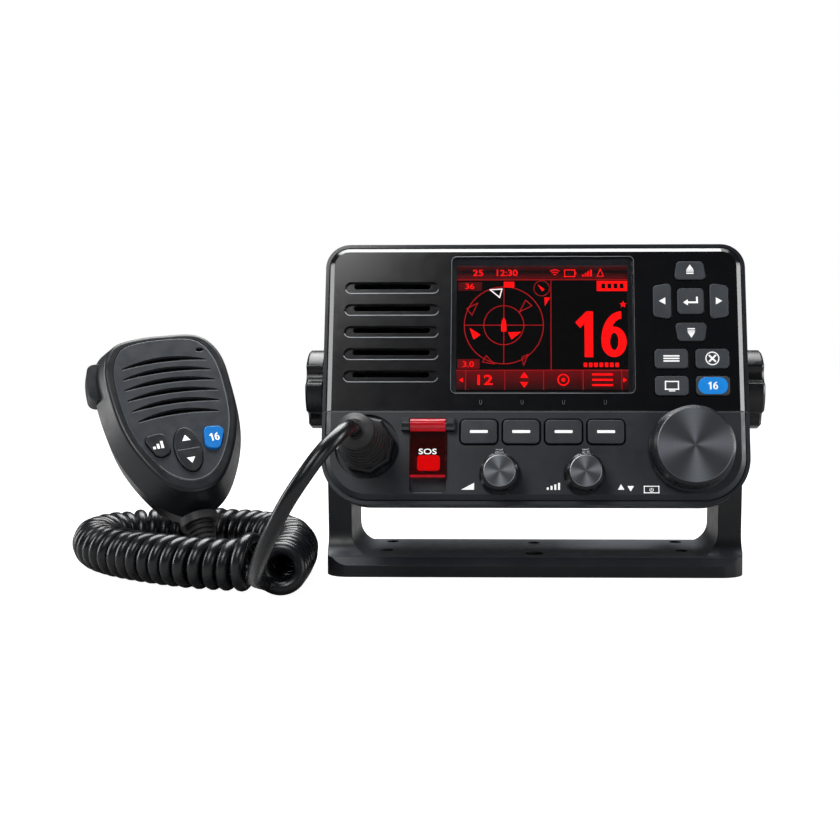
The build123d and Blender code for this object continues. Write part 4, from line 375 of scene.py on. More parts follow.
def turned(name, colour, rough, turn=0.07):
    """Turned metal-look face: fine rings round the piece's own z axis, and crossed bright wedges painted into
    its colour as a painted highlight.
    """
    n = Nodes(name)
    flat = n.add("ShaderNodeMapping", {"Vector": n.place, "Scale": (1, 1, 0)}).outputs["Vector"]
    radius = n.vector("LENGTH", (flat,))
    rings = n.add(
        "ShaderNodeTexNoise", {"W": radius, "Scale": 4200.0, "Detail": 2.0}, noise_dimensions="1D"
    ).outputs["Fac"]
    parts = n.add("ShaderNodeSeparateXYZ", {"Vector": flat}).outputs
    # Painted highlight: four bright wedges round the middle with darker colour between them, weaker near the
    # middle.
    angle = n.math("ARCTAN2", parts["Y"], parts["X"])
    swing = n.math("COSINE", n.math("MULTIPLY", n.math("SUBTRACT", angle, turn), 4.0))
    painted_sheen = n.math("POWER", n.ramp(swing, -1.0, 1.0), 1.7)
    painted_sheen = n.math("MULTIPLY", painted_sheen, n.fade(radius, 0.0, 2.2, 0.3, 1.0))
    tone = n.mix(painted_sheen, toned(colour, 0.2), toned(colour))
    n.keep(n.principled({
        "Base Color": n.mix(n.spread(rings, 0.0, 0.45), tone, toned(colour, 0.45)), "Metallic": 0.55,
        "Roughness": n.around(rings, rough, 0.05), "Normal": n.bump(rings, 0.15, 0.000004),
    }))


def moulding(name, colour, rough, glossy, line):
    """Front moulding: polished in front above a line of the face, fine matte grain elsewhere."""
    n = Nodes(name)
    upper = n.fade(n.height(RADIO.at(0, line), UP), -0.1, 0.1)
    front = n.fade(n.height(RADIO.at(0, 0, -4.5), OUT), -0.2, 0.2)
    polished = n.math("MULTIPLY", upper, front)
    clouds = n.noise(70.0, 4.0)
    bevel = n.rounded(0.0003)
    base = n.mottled(clouds, colour, 0.12)
    # Rounded edges are made lighter: a painted edge highlight.
    base = n.mix(n.math("MULTIPLY", n.near_edge(bevel), 0.5), base, toned(colour, 1.6))
    matte = n.around(n.noise(210.0, 5.0), rough, 0.05)
    shine = n.spread(clouds, glossy, glossy + 0.03)
    roughness = n.math("ADD", n.math("MULTIPLY", polished, n.math("SUBTRACT", shine, matte)), matte)
    grain = n.math("MULTIPLY", n.noise(2600.0, 2.0), n.ramp(polished, 0.0, 1.0, 1.0, 0.1))
    n.keep(n.principled({
        "Base Color": base, "Roughness": roughness, "Normal": n.bump(grain, 0.35, 0.000012, bevel),
    }))


# The radio's cases, keys and knobs.
KEY_GREY = (0.056, 0.0625, 0.073)
DULL = {"Specular IOR Level": 0.0}
COARSE = {"grain": 1700.0, "grain_depth": 0.00003, "grain_strength": 0.6}
# The bracket's upward faces are much lighter: painted top light, and partly dusty.
finish("bracket_plastic", (0.0128, 0.014, 0.017), 0.42, grain=1800.0, grain_strength=0.5, dust_and_top_light=6.5)
finish("knob_plastic", (0.006, 0.0068, 0.0088), 0.3, wear_and_edge_highlight=3.5)
finish("rubber", (0.018, 0.0185, 0.0195), 0.55, mottle=0.2)
finish("body_plastic", (0.0122, 0.0137, 0.0172), 0.38, grain=2600.0)
finish("gloss_plate", (0.0026, 0.0029, 0.0042), 0.18, grain=900.0, grain_strength=0.05, rough_change=0.02,
       mottle=0.1)
finish("die_cast", (0.022, 0.0225, 0.024), 0.5, grain=1300.0, grain_depth=0.00004, grain_strength=0.6)
finish("board", (0.012, 0.09, 0.03), 0.35, mottle=0.25, mottle_scale=250.0)
finish("cone", (0.003, 0.0031, 0.0035), 0.8, mottle=0.3, mottle_scale=400.0, **DULL)
finish("key_rubber", KEY_GREY, 0.42, mottle=0.2, wear_and_edge_highlight=3.6, **COARSE)
finish("blue_key", KEY_GREY, 0.42, **COARSE)
finish("soft_key", (0.042, 0.047, 0.056), 0.35, wear_and_edge_highlight=3.4)
finish("dial", (0.016, 0.0175, 0.021), 0.3, wear_and_edge_highlight=2.8, metallic=0.2)
moulding("moulding", (0.0255, 0.0288, 0.0355), 0.4, 0.16, PLATE_LINE)
brushed("steel", (0.3, 0.3, 0.31), 0.34)
brushed("nickel", (0.62, 0.6, 0.55), 0.22)
brushed("rim_dark", (0.15, 0.158, 0.175), 0.4)
brushed("rim_metal", (0.3, 0.31, 0.33), 0.34)
# Dial and knob faces carry painted crossed highlights.
turned("turned_dial", (0.25, 0.268, 0.3), 0.38)
turned("turned_knob", (0.32, 0.342, 0.375), 0.36, turn=0.17)
clear_red("red_clear")
# Red parts shine in their own colour: painted light, as no lamp is in them.
lit("red", (0.75, 0.006, 0.035), 0.85)

# The display and its window.
window_glass("window")
finish("display", (0.001, 0.0004, 0.0004), 0.7, grain=PICTURE_DOTS, grain_strength=0.0, mottle=0.05, wear_and_edge_highlight=1.0,
       **DULL)
lit("lit_red", (1.0, 0.0, 0.0), 1.15)
lit("lit_dim", (0.5, 0.004, 0.006), 0.7)
lit("lit_white", (1.0, 0.85, 0.85), 1.0)
lit_bands("lit_bands")

# The microphone and its cord.
finish("mic_case", (0.0095, 0.0108, 0.0135), 0.36, grain=1900.0, grain_strength=0.5, wear_and_edge_highlight=1.8)
finish("mic_panel", (0.04, 0.0448, 0.0525), 0.36, grain=1500.0, grain_strength=0.5, edge=0.0006, wear_and_edge_highlight=5.0)
finish("mic_key", (0.016, 0.0176, 0.021), 0.36, edge=0.0005, wear_and_edge_highlight=3.4)
# The blue key shines a little in its own colour: painted light.
finish("mic_blue", (0.005, 0.19, 0.6), 0.33, mottle=0.08, painted_glow=0.12)
finish("cord", (0.0045, 0.0052, 0.007), 0.27, mottle=0.15, grain=1500.0, grain_strength=0.25, edge=0.0001)

# Printing, and a light grey for painted highlights along edges.
# White printing shines in its own colour: painted light.
finish("print_white", (0.82, 0.82, 0.82), 0.5, mottle=0.04, edge=0.0001, wear_and_edge_highlight=1.0, painted_glow=0.6)
finish("print_grey", (0.2, 0.2, 0.21), 0.5, mottle=0.05, edge=0.0001, wear_and_edge_highlight=1.0)
finish("highlight_grey", (0.13, 0.138, 0.15), 0.45, mottle=0.1, edge=0.0001, wear_and_edge_highlight=1.0)
# The blue key face shines in its own colour: painted light.
finish("key_blue_face", (0.004, 0.2, 0.62), 0.36, mottle=0.07, grain=1700.0, wear_and_edge_highlight=1.3, painted_glow=0.5)


def dress(obj, name):
    if not obj.material_slots:
        obj.data.materials.append(None)
    for slot in obj.material_slots:
        slot.material = materials[name]


for part in frame["record"]["subparts"]:
    dress(bpy.data.objects[part["node"]], part["material_slot"])
dress(bpy.data.objects["front_bezel"], "moulding")


# ---------------------------------------------------------------- pieces in mesh code
def link(name, shape, finish_name, body=None, matrix=None, smooth=False):
    """Turn a bmesh into a dressed piece that rides a body."""
    mesh = bpy.data.meshes.new(name)
    shape.to_mesh(mesh)
    shape.free()
    obj = bpy.data.objects.new(name, mesh)
    if matrix is not None:
        obj.matrix_world = matrix
    bpy.context.collection.objects.link(obj)
    if smooth:
        mesh.polygons.foreach_set("use_smooth", [True] * len(mesh.polygons))
    dress(obj, finish_name)
    if body:
        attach(obj, body)
    return obj


def skin(shape, rings):
    """Join rings of points into a tube that is closed at both ends."""
    count = len(rings[0])
    for low, high in zip(rings, rings[1:]):
        for i in range(count):
            j = (i + 1) % count
            shape.faces.new((low[i], low[j], high[j], high[i]))
    shape.faces.new(list(reversed(rings[0])))
    shape.faces.new(rings[-1])


def drawn(curve):
    """Points and faces that Blender draws for a curve or a text, which is then removed."""
    holder = bpy.data.objects.new(curve.name, curve)
    bpy.context.collection.objects.link(holder)
    bpy.context.view_layer.update()
    mesh = bpy.data.meshes.new_from_object(holder)
    points = [v.co.copy() for v in mesh.vertices]
    faces = [tuple(face.vertices) for face in mesh.polygons]
    bpy.data.objects.remove(holder)
    bpy.data.curves.remove(curve)
    bpy.data.meshes.remove(mesh)
    return points, faces


def oval(x, y, rx, ry, start=0.0, end=360.0, steps=24):
    """Points along an oval or a stretch of it, in degrees from its right-hand side."""
    points = []
    for i in range(steps + 1):
        a = math.radians(start + (end - start) * i / steps)
        points.append((x + rx * math.cos(a), y + ry * math.sin(a)))
    return points


CORNER_STEPS = 10


def pill_points(x, y, width, height, radius=None):
    """Rounded rectangle, from its upper right corner anticlockwise."""
    radius = height / 2 if radius is None else radius
    side, rise = width / 2 - radius, height / 2 - radius
    points = []
    for first, cx, cy in ((0, side, rise), (90, -side, rise), (180, -side, -rise), (270, side, -rise)):
        points += oval(x + cx, y + cy, radius, radius, first, first + 90, CORNER_STEPS)
    return points


class Art:
    """Flat printing, drawn in millimetres as a list of polygons."""

    def __init__(self):
        self.polygons = []

    def polygon(self, points):
        self.polygons.append(list(points))
        return self

    def box(self, x0, y0, x1, y1):
        return self.polygon([(x0, y0), (x1, y0), (x1, y1), (x0, y1)])

    def line(self, a, b, width):
        (ax, ay), (bx, by) = a, b
        long = math.hypot(bx - ax, by - ay)
        ux, uy = (bx - ax) / long * width / 2, (by - ay) / long * width / 2
        return self.polygon([
            (ax - uy - ux, ay + ux - uy), (ax + uy - ux, ay - ux - uy),
            (bx + uy + ux, by - ux + uy), (bx - uy + ux, by + ux + uy),
        ])

    def outline(self, points, width):
        for a, b in zip(points, points[1:] + points[:1]):
            self.line(a, b, width)
        return self

    def frame(self, x0, y0, x1, y1, width):
        return self.outline([(x0, y0), (x1, y0), (x1, y1), (x0, y1)], width)

    def band(self, outer, inner, closed=False):
        """Strip between two lines that have as many points."""
        pairs = list(zip(outer, inner))
        if closed:
            pairs.append(pairs[0])
        for (a, b), (c, d) in zip(pairs, pairs[1:]):
            self.polygon([a, c, d, b])
        return self

    def ring(self, x, y, radius, width, start=0.0, end=360.0, steps=72):
        outer, inner = (
            oval(x, y, r, r, start, end, steps) for r in (radius + width / 2, radius - width / 2)
        )
        return self.band(outer, inner)

    def disc(self, x, y, radius):
        return self.polygon(oval(x, y, radius, radius, steps=28)[:-1])

    def pill(self, x, y, width, height, radius=None):
        return self.polygon(pill_points(x, y, width, height, radius))

    def triangle(self, x, y, width, height, turn=0.0):
        """Triangle pointing up, turned anticlockwise by so many degrees."""
        c, s = math.cos(math.radians(turn)), math.sin(math.radians(turn))
        points = [(0, height / 2), (-width / 2, -height / 2), (width / 2, -height / 2)]
        return self.polygon([(x + px * c - py * s, y + px * s + py * c) for px, py in points])

    def star(self, x, y, radius):
        """Star with five points, as five kites that meet in its middle."""

        def spoke(degrees, length):
            a = math.radians(degrees)
            return x + length * math.cos(a), y + length * math.sin(a)

        notch = radius * 0.4
        for tip in range(90, 450, 72):
            self.polygon([(x, y), spoke(tip - 36, notch), spoke(tip, radius), spoke(tip + 36, notch)])
        return self

    def number(self, text, x, y, height, width, weight):
        """Plain characters, centred on x, y and stretched to a height and a width."""
        font = bpy.data.curves.new("number", "FONT")
        font.body = text
        font.offset = weight
        font.resolution_u = 4
        points, faces = drawn(font)
        xs = [p.x for p in points]
        ys = [p.y for p in points]
        wide = width / (max(xs) - min(xs))
        tall = height / (max(ys) - min(ys))
        mx, my = (max(xs) + min(xs)) / 2, (max(ys) + min(ys)) / 2
        for face in faces:
            self.polygon((x + (points[i].x - mx) * wide, y + (points[i].y - my) * tall) for i in face)
        return self

    def sixteen(self, x, y, width, height):
        """The numbers 1 and 6, narrow and bold, centred on x, y."""
        left, foot = x - width / 2, y - height / 2

        def put(points):
            return [(left + u * width, foot + v * height) for u, v in points]

        one = [
            (0.22, 1.0), (0.345, 1.0), (0.345, 0.0), (0.18, 0.0), (0.18, 0.74), (0.095, 0.635), (0.0, 0.76),
        ]
        bowl = oval(0.754, 0.333, 0.246, 0.333), oval(0.757, 0.342, 0.083, 0.19)
        stem = oval(0.9, 0.38, 0.392, 0.62, 90, 180, 14), oval(0.9, 0.38, 0.229, 0.46, 90, 180, 14)
        self.polygon(put(one))
        for outer, inner in (bowl, stem):
            self.band(put(outer), put(inner))
        return self

    def lay(self, name, place, out, finish_name, body, thick=0.05):
        """Print the polygons on a plane of the object, as thin raised ink."""
        shape = bmesh.new()
        for points in self.polygons:
            shape.faces.new([shape.verts.new(place.at(x, y, out)) for x, y in points])
        bmesh.ops.remove_doubles(shape, verts=shape.verts, dist=2e-7)
        bmesh.ops.recalc_face_normals(shape, faces=shape.faces)
        for face in shape.faces:
            if face.normal.dot(place.out) < 0:
                face.normal_flip()
        made = bmesh.ops.extrude_face_region(shape, geom=list(shape.faces))
        raised = [v for v in made["geom"] if isinstance(v, bmesh.types.BMVert)]
        bmesh.ops.translate(shape, verts=raised, vec=place.out * thick * MM)
        return link(name, shape, finish_name, body)


def lathe(name, profile, finish_name, body, matrix, steps=128, teeth=0, depth=0.0):
    """Turned piece round its own z axis, with teeth cut in its widest part.

    The profile holds pairs of radius and height in millimetres."""
    shape = bmesh.new()
    widest = max(radius for radius, _ in profile)
    rings = []
    for radius, height in profile:
        ring = []
        for i in range(steps):
            a = 2 * math.pi * i / steps
            cut = depth * (0.5 - 0.5 * math.cos(teeth * a)) if radius == widest else 0.0
            point = Vector(((radius - cut) * math.cos(a), (radius - cut) * math.sin(a), height))
            ring.append(shape.verts.new(point * MM))
        rings.append(ring)
    skin(shape, rings)
    obj = link(name, shape, finish_name, body, matrix, smooth=True)
    sharp = obj.modifiers.new("edges", "EDGE_SPLIT")
    sharp.split_angle = math.radians(28)
    return obj


# ---------------------------------------------------------------- microphone cord
# Radii of the wire and of its turns, in millimetres.
WIRE = 2.9
HELIX_RADIUS = 7.72
TURNS = 48
POINTS_PER_TURN = 16
LAST_TURNS = 1.15
COIL_HEIGHT = 10.75

# Control points of the three runs, in millimetres: from the plug to the coil, the coil's lying centre
# line, and from the coil to the microphone.
plug_end = (-67.7, -87.23, 67.08)
LEAD = [
    plug_end, tuple(Vector(plug_end) + OUT * 11.6), (-70.4, -109.4, 66.9), (-75.6, -116.3, 61.2),
    (-82.2, -119.2, 51.7), (-88.2, -117.7, 42.8), (-94.0, -114.0, 32.3), (-98.6, -107.0, 23.8),
    (-102.4, -98.0, 17.0), (-105.4, -88.0, 12.0), (-107.2, -78.5, 8.6),
]
COIL = [
    (-99.4, -68.0), (-99.8, -48.0), (-101.5, -28.0), (-104.5, -8.0), (-112.0, 11.0), (-126.0, 24.0),
    (-145.0, 29.5), (-166.5, 30.0), (-185.0, 23.5), (-194.0, 9.5), (-192.5, -7.0), (-181.0, -24.5),
    (-163.5, -38.5), (-145.0, -49.5), (-129.0, -56.0), (-112.0, -59.0),
]
boot_end = MIC_AT - MIC_UP * 37.0 - MIC_OUT * 13.5
TAIL = [
    (-111.6, -49.6, 6.2), (-113.6, -47.4, 3.9), (-117.6, -45.6, 3.2), (-122.8, -43.0, 3.1),
    (-128.7, -38.9, 3.2), (-131.4, -35.2, 4.1), (-134.0, -31.9, 5.9), (-136.1, -29.2, 8.3),
    tuple(boot_end - MIC_UP * 4.2), tuple(boot_end),
]


def spline_points(points, resolution):
    """Points along one smooth NURBS spline that has these control points, in metres."""
    curve = bpy.data.curves.new("line", "CURVE")
    curve.dimensions = "3D"
    spline = curve.splines.new("NURBS")
    spline.points.add(len(points) - 1)
    for control, point in zip(spline.points, points):
        control.co = (*(c * MM for c in point), 1.0)
    spline.order_u = 3
    spline.use_endpoint_u = True
    spline.resolution_u = resolution
    return drawn(curve)[0]


def even(points, count):
    """The same line with evenly spaced points."""
    lengths = [0.0]
    for a, b in zip(points, points[1:]):
        lengths.append(lengths[-1] + (b - a).length)
    found = []
    k = 0
    for i in range(count):
        want = lengths[-1] * i / (count - 1)
        while k < len(lengths) - 2 and lengths[k + 1] < want:
            k += 1
        share = (want - lengths[k]) / max(lengths[k + 1] - lengths[k], 1e-12)
        found.append(points[k].lerp(points[k + 1], min(max(share, 0.0), 1.0)))
    return found


def helix():
    """Turns of the coil round its lying centre line, in millimetres.

    They are a little uneven as on a used cord, and the last one opens out."""
    lying = spline_points([(x, y, COIL_HEIGHT) for x, y in COIL], 24)
    line = even(lying, TURNS * POINTS_PER_TURN + 1)
    points = []
    for i, centre in enumerate(line):
        before, after = line[max(i - 1, 0)], line[min(i + 1, len(line) - 1)]
        heading = (after - before).normalized()
        left = VERTICAL.cross(heading)
        angle = 2 * math.pi * i / POINTS_PER_TURN
        turn = i / POINTS_PER_TURN
        loose = 1.0 + 0.012 * math.sin(turn * 2.3) + 0.008 * math.sin(turn * 5.1 + 1.0)
        last = max(0.0, turn - (TURNS - LAST_TURNS)) / LAST_TURNS
        grow = 1.0 + 0.3 * math.sin(math.pi * last)
        radius = HELIX_RADIUS * loose * grow
        lift = HELIX_RADIUS * (grow + loose - 2.0) - radius * math.sin(angle)
        sway = 0.25 * math.sin(turn * 1.7 + 0.6) + 1.6 * last
        points.append(tuple(centre / MM + left * radius * math.cos(angle) + VERTICAL * lift + heading * sway))
    return points


def tube(name, line, radius, sides, finish_name):
    """Round tube of mesh round a line of points in metres, cut square at its ends."""
    shape = bmesh.new()
    normal = VERTICAL
    rings = []
    for i, centre in enumerate(line):
        heading = (line[min(i + 1, len(line) - 1)] - line[max(i - 1, 0)]).normalized()
        normal = (normal - heading * normal.dot(heading)).normalized()
        across = heading.cross(normal)
        ring = []
        for k in range(sides):
            a = 2 * math.pi * k / sides
            ring.append(shape.verts.new(centre + (normal * math.cos(a) + across * math.sin(a)) * radius))
        rings.append(ring)
    skin(shape, rings)
    bmesh.ops.recalc_face_normals(shape, faces=shape.faces)
    return link(name, shape, finish_name, smooth=True)


# The helix's first two points are left out, so that the lead runs smoothly into its first turn.
cord_line = spline_points(LEAD + helix()[2:] + TAIL, 3)
cord = tube("mic_cord", cord_line, WIRE * MM, 14, "cord")
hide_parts("cord_lead", "cord_coil", "cord_tail")
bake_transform(cord)


# ---------------------------------------------------------------- knobs
def cap(name, node, x, y, radius, finish_name, rim_name, thick=0.3):
    """Turned face of a knob with a fine bevel, and the bright edge round it."""
    top = RADIO.matrix(x, y, RADIO.middle(node)[2])
    face = [(radius - 0.15, -0.2), (radius, 0.0), (radius, thick - 0.15)]
    face += [(r, thick) for r in (radius - 0.15, radius * 0.7, radius * 0.4, radius * 0.15)]
    lathe(name, face, finish_name, node, top)
    rim = [(radius - 0.02, -0.3), (radius + 0.28, -0.3), (radius + 0.16, thick - 0.1)]
    rim.append((radius - 0.02, thick - 0.02))
    lathe(f"{name}_rim", rim, rim_name, node, top)


def pointer_ridges(node, x, y, out):
    """Three small bright ridges across a knob's pointer, each shorter than the one before."""
    art = Art()
    for ridge in range(3):
        half, foot = 1.85 - 0.2 * ridge, y + 6.75 + 0.68 * ridge
        art.box(x - half, foot, x + half, foot + 0.35)
    art.lay(f"ridges_{node}", RADIO, out, "rim_metal", node, 0.12)


def knurl(name, node, x, y, radius, low, high, teeth):
    """Fine ribs round the foot of a knob."""
    profile = [(radius - 0.25, low), (radius, low + 0.15), (radius, high - 0.15), (radius - 0.25, high)]
    lathe(name, profile, "dial", node, RADIO.matrix(x, y), steps=teeth * 5, teeth=teeth, depth=0.22)


knurl("dial_knurl", "channel_dial", DIAL_X, DIAL_Y, 17.35, 1.35, 2.65, 100)
cap("dial_cap", "channel_dial", DIAL_X, DIAL_Y, 14.7, "turned_dial", "rim_dark")
for knob, knob_x in KNOB_X.items():
    cap(f"{knob}_cap", knob, knob_x, KNOB_Y, 6.1, "turned_knob", "rim_metal", 0.25)
    pointer_ridges(knob, knob_x, KNOB_Y, 12.6)
    knurl(f"{knob}_knurl", knob, knob_x, KNOB_Y, 8.35, 0.6, 1.95, 52)

# ---------------------------------------------------------------- cover's hinge, painted shade in the gap round each soft key
BARREL_LENGTH, BARREL_GAP = 3.3, 0.15
(cover_left, cover_right), _, _ = RADIO.span("distress_cover")
barrel = [(2.6, 0.0), (2.9, 0.25), (2.9, BARREL_LENGTH - 0.25), (2.6, BARREL_LENGTH)]
barrel_turn = Matrix((UP, OUT, ACROSS)).transposed().to_4x4()
for end_name, end_x in (
    ("hinge_end_left", cover_left - BARREL_LENGTH - BARREL_GAP),
    ("hinge_end_right", cover_right + BARREL_GAP),
):
    end_place = Matrix.Translation(RADIO.at(end_x, HINGE_Y, HINGE_OUT)) @ barrel_turn
    lathe(end_name, barrel, "dial", "transceiver", end_place, steps=48)

SOFT_KEYS = [f"soft_key_{number}" for number in range(1, 5)]
# Painted shade: a near-black band on the bezel round each soft key, where its gap lies in shadow.
gap_shade = Art()
for soft_key in SOFT_KEYS:
    x, y, _ = RADIO.middle(soft_key)
    gap_shade.band(pill_points(x, y, 16.0, 11.0, 2.6), pill_points(x, y, 15.0, 10.0, 2.1), closed=True)
gap_shade.lay("key_gaps", RADIO, 0.0, "cone", "transceiver", 0.02)


# ---------------------------------------------------------------- legends on the keys
def on_key(node, draw, place=RADIO):
    """Print centred on a key's top, riding with the key."""
    x, y, top = place.middle(node)
    art = Art()
    draw(art, x, y)
    name = "mark_" + node.replace("mic_key", "mic")
    art.lay(name, place, top - 0.02, "print_white", node)


def up_mark(art, x, y):
    art.triangle(x, y + 1.35, 3.0, 2.3)
    art.box(x - 1.5, y - 1.5, x + 1.5, y - 0.95).box(x - 1.5, y - 0.55, x + 1.5, y)


def down_mark(art, x, y):
    art.triangle(x, y - 1.35, 3.0, 2.3, 180)
    art.box(x - 1.5, y + 0.95, x + 1.5, y + 1.5).box(x - 1.5, y, x + 1.5, y + 0.55)


def left_mark(art, x, y):
    art.triangle(x, y, 3.0, 2.6, 90)


def right_mark(art, x, y):
    art.triangle(x, y, 3.0, 2.6, -90)


def enter_mark(art, x, y):
    art.line((x + 2.6, y + 1.4), (x + 2.6, y - 0.6), 0.75)
    art.line((x + 2.6, y - 0.6), (x - 1.4, y - 0.6), 0.75)
    art.triangle(x - 2.1, y - 0.6, 2.6, 1.9, 90)


def menu_mark(art, x, y):
    for bar in (-1.05, 0.0, 1.05):
        art.pill(x, y + bar, 6.6, 0.6)


def clear_mark(art, x, y):
    art.line((x - 1.15, y - 1.15), (x + 1.15, y + 1.15), 0.7)
    art.line((x - 1.15, y + 1.15), (x + 1.15, y - 1.15), 0.7)
    art.ring(x, y, 2.6, 0.45, steps=48)


def display_mark(art, x, y):
    art.frame(x - 2.6, y - 1.5, x + 2.6, y + 1.7, 0.5)
    art.box(x - 1.3, y - 2.4, x + 1.3, y - 1.95)


def bar_mark(art, x, y):
    art.pill(x, y, 7.2, 1.15, 0.3)


for key, mark in (
    ("up", up_mark), ("down", down_mark), ("left", left_mark), ("right", right_mark),
    ("enter", enter_mark), ("menu", menu_mark), ("clear", clear_mark), ("display", display_mark),
):
    on_key(f"key_{key}", mark)
x, y, top = RADIO.middle("key_sixteen")
Art().pill(x, y, 11.9, 6.9, 3.3).lay("blue_face", RADIO, top - 0.05, "key_blue_face", "key_sixteen", 0.12)
Art().sixteen(x, y, 4.0, 3.1).lay("mark_key_sixteen", RADIO, top + 0.05, "print_white", "key_sixteen")
for soft_key in SOFT_KEYS:
    on_key(soft_key, bar_mark)


# ---------------------------------------------------------------- printing on the face
def on_face(art, name, finish_name, thick=0.02):
    art.lay(name, RADIO, 0.0, finish_name, "transceiver", thick)


ticks = Art()
for tick_x in (-22.0, -5.25, 11.5, 28.3):
    for side_x in (tick_x - 0.45, tick_x + 0.45):
        ticks.line((side_x, -12.0), (side_x, -13.2), 0.14)
    ticks.ring(tick_x, -13.2, 0.45, 0.14, 180, 360, 10)
on_face(ticks, "plate_ticks", "print_grey", 0.03)

# Painted highlights along the lower edges of the speaker slots, from the lower left corner to the lower right
# one.
slot_highlights = Art()
lower_edge = slice(24, 42)
for slot_y in SLOT_YS:
    outer, inner = pill_points(SLOT_X, slot_y, 38.8, 5.0), pill_points(SLOT_X, slot_y, 38.3, 4.5)
    slot_highlights.band(outer[lower_edge], inner[lower_edge])
on_face(slot_highlights, "slot_lip_highlights", "rim_metal")

# Painted highlights along the edges below the gloss plate and below the well of the distress button.
step_highlights = Art().box(-85.2, -16.95, 85.2, -16.7).box(-48.6, -49.8, -37.4, -49.5)
on_face(step_highlights, "step_edge_highlights", "highlight_grey")

window_edge = Art().band(
    pill_points(WINDOW_X, WINDOW_Y, 74.9, 57.5, 2.1), pill_points(WINDOW_X, WINDOW_Y, 74.55, 57.15, 1.95),
    closed=True,
)
on_face(window_edge, "window_edge", "rim_metal", 0.03)

# Volume wedge, squelch bars, channel arrows and the frame with a power sign.
labels = Art().polygon([(-29.6, -48.4), (-24.4, -48.4), (-24.4, -45.6)])
for bar in range(4):
    labels.box(4.6 + bar * 1.5, -48.4, 5.4 + bar * 1.5, -47.4 + 0.6 * bar)
labels.triangle(34.2, -47.2, 2.6, 2.2).triangle(38.0, -47.9, 2.6, 2.2, 180)
labels.frame(43.4, -49.5, 49.2, -46.9, 0.35)
labels.ring(46.3, -48.3, 0.72, 0.24, -230, 50, 20).line((46.3, -47.6), (46.3, -48.4), 0.24)
on_face(labels, "face_labels", "print_white", 0.03)


# ---------------------------------------------------------------- display
def on_screen(art, name, finish_name, raised=0.0):
    art.lay(name, RADIO, SCREEN_OUT + raised, finish_name, "transceiver", 0.01)


bands = Art().box(SCREEN_LEFT, STATUS_FOOT, SCREEN_RIGHT, SCREEN_TOP)
bands.box(SCREEN_LEFT, SCREEN_FOOT, SCREEN_RIGHT, KEYS_TOP)
bands.box(-31.6, 34.2, -21.8, 37.9).box(-31.6, 1.4, -22.6, 5.4)
on_screen(bands, "screen_bands", "lit_bands")

lines = Art()
for line_y, line_width in ((SCREEN_TOP, 0.35), (STATUS_FOOT, 0.25), (KEYS_TOP, 0.25)):
    lines.line((SCREEN_LEFT, line_y), (SCREEN_RIGHT, line_y), line_width)
lines.line((SPLIT_X, STATUS_FOOT), (SPLIT_X, 0.9), 0.3)
for cell_x in (-28.22, -12.3, 3.49, 19.54, 35.18):
    lines.line((cell_x, KEYS_TOP), (cell_x, SCREEN_FOOT), 0.25)
lines.ring(COMPASS_X, COMPASS_Y, 16.2, 0.32, steps=120).ring(COMPASS_X, COMPASS_Y, 8.2, 0.3, steps=90)
lines.line((-28.9, COMPASS_Y), (3.46, COMPASS_Y), 0.28).line((COMPASS_X, 3.4), (COMPASS_X, 36.0), 0.28)
for corners in (
    [(-28.0, 26.6), (-23.5, 29.0), (-25.8, 23.9)], [(-6.4, 25.2), (-3.8, 30.2), (-1.2, 27.8)],
    [(-21.4, 4.2), (-19.9, 6.9), (-16.6, 3.4)], [(-5.4, 6.2), (-2.8, 7.4), (-4.6, 2.9)],
):
    lines.outline(corners, 0.3)
lines.ring(2.76, 35.2, 3.2, 0.22, steps=48)
on_screen(lines, "screen_lines", "lit_dim", 0.015)

# The channel number with its box, star and seven dots.
marks = Art().sixteen(26.95, 15.8, 20.9, 19.2)
marks.box(25.4, 34.0, 37.8, 38.3).star(36.1, 28.3, 1.55)
for dot in range(7):
    marks.box(19.8 + dot * 2.15, 2.1, 21.2 + dot * 2.15, 3.9)

# The compass: its head mark, the ship, two targets, the small arrow and its wedge.
marks.box(-12.8, 35.6, -8.5, 38.0)
marks.polygon([
    (COMPASS_X, 22.9), (-13.5, 21.6), (-13.8, 19.6), (-13.8, 17.0), (-11.7, 17.0), (-11.7, 19.6),
    (-12.0, 21.6),
])
marks.polygon([(-26.8, 18.5), (-22.3, 15.6), (-25.1, 13.6)])
marks.polygon([(-11.0, 16.6), (-5.6, 16.8), (-9.6, 13.6)])
marks.triangle(2.3, 35.6, 1.3, 3.4, 42).polygon([(3.9, 31.3), (6.2, 31.3), (4.1, 27.8)])

# Plain numbers.
for text, text_x, text_y, tall, wide, weight in (
    ("12:30", -11.4, 41.8, 2.7, 8.6, 0.012), ("25", -23.4, 41.8, 2.7, 4.2, 0.012),
    ("36", -26.8, 36.1, 2.4, 3.8, 0.01), ("3.0", -27.2, 3.3, 2.4, 4.6, 0.01),
    ("12", -20.3, -3.2, 4.2, 6.2, 0.015),
):
    marks.number(text, text_x, text_y, tall, wide, weight)

# Status signs: radio waves, a battery, level bars and a triangle.
for arc in (0.9, 1.9, 2.9):
    marks.ring(8.2, 40.2, arc, 0.35, 50, 130, 14)
marks.frame(12.2, 40.2, 16.4, 43.0, 0.35).box(16.5, 41.0, 17.0, 42.2)
for bar in range(4):
    marks.box(19.4 + bar * 1.1, 40.2, 20.1 + bar * 1.1, 41.0 + bar * 0.7)
marks.outline([(25.6, 40.3), (28.2, 40.3), (26.9, 43.4)], 0.3)

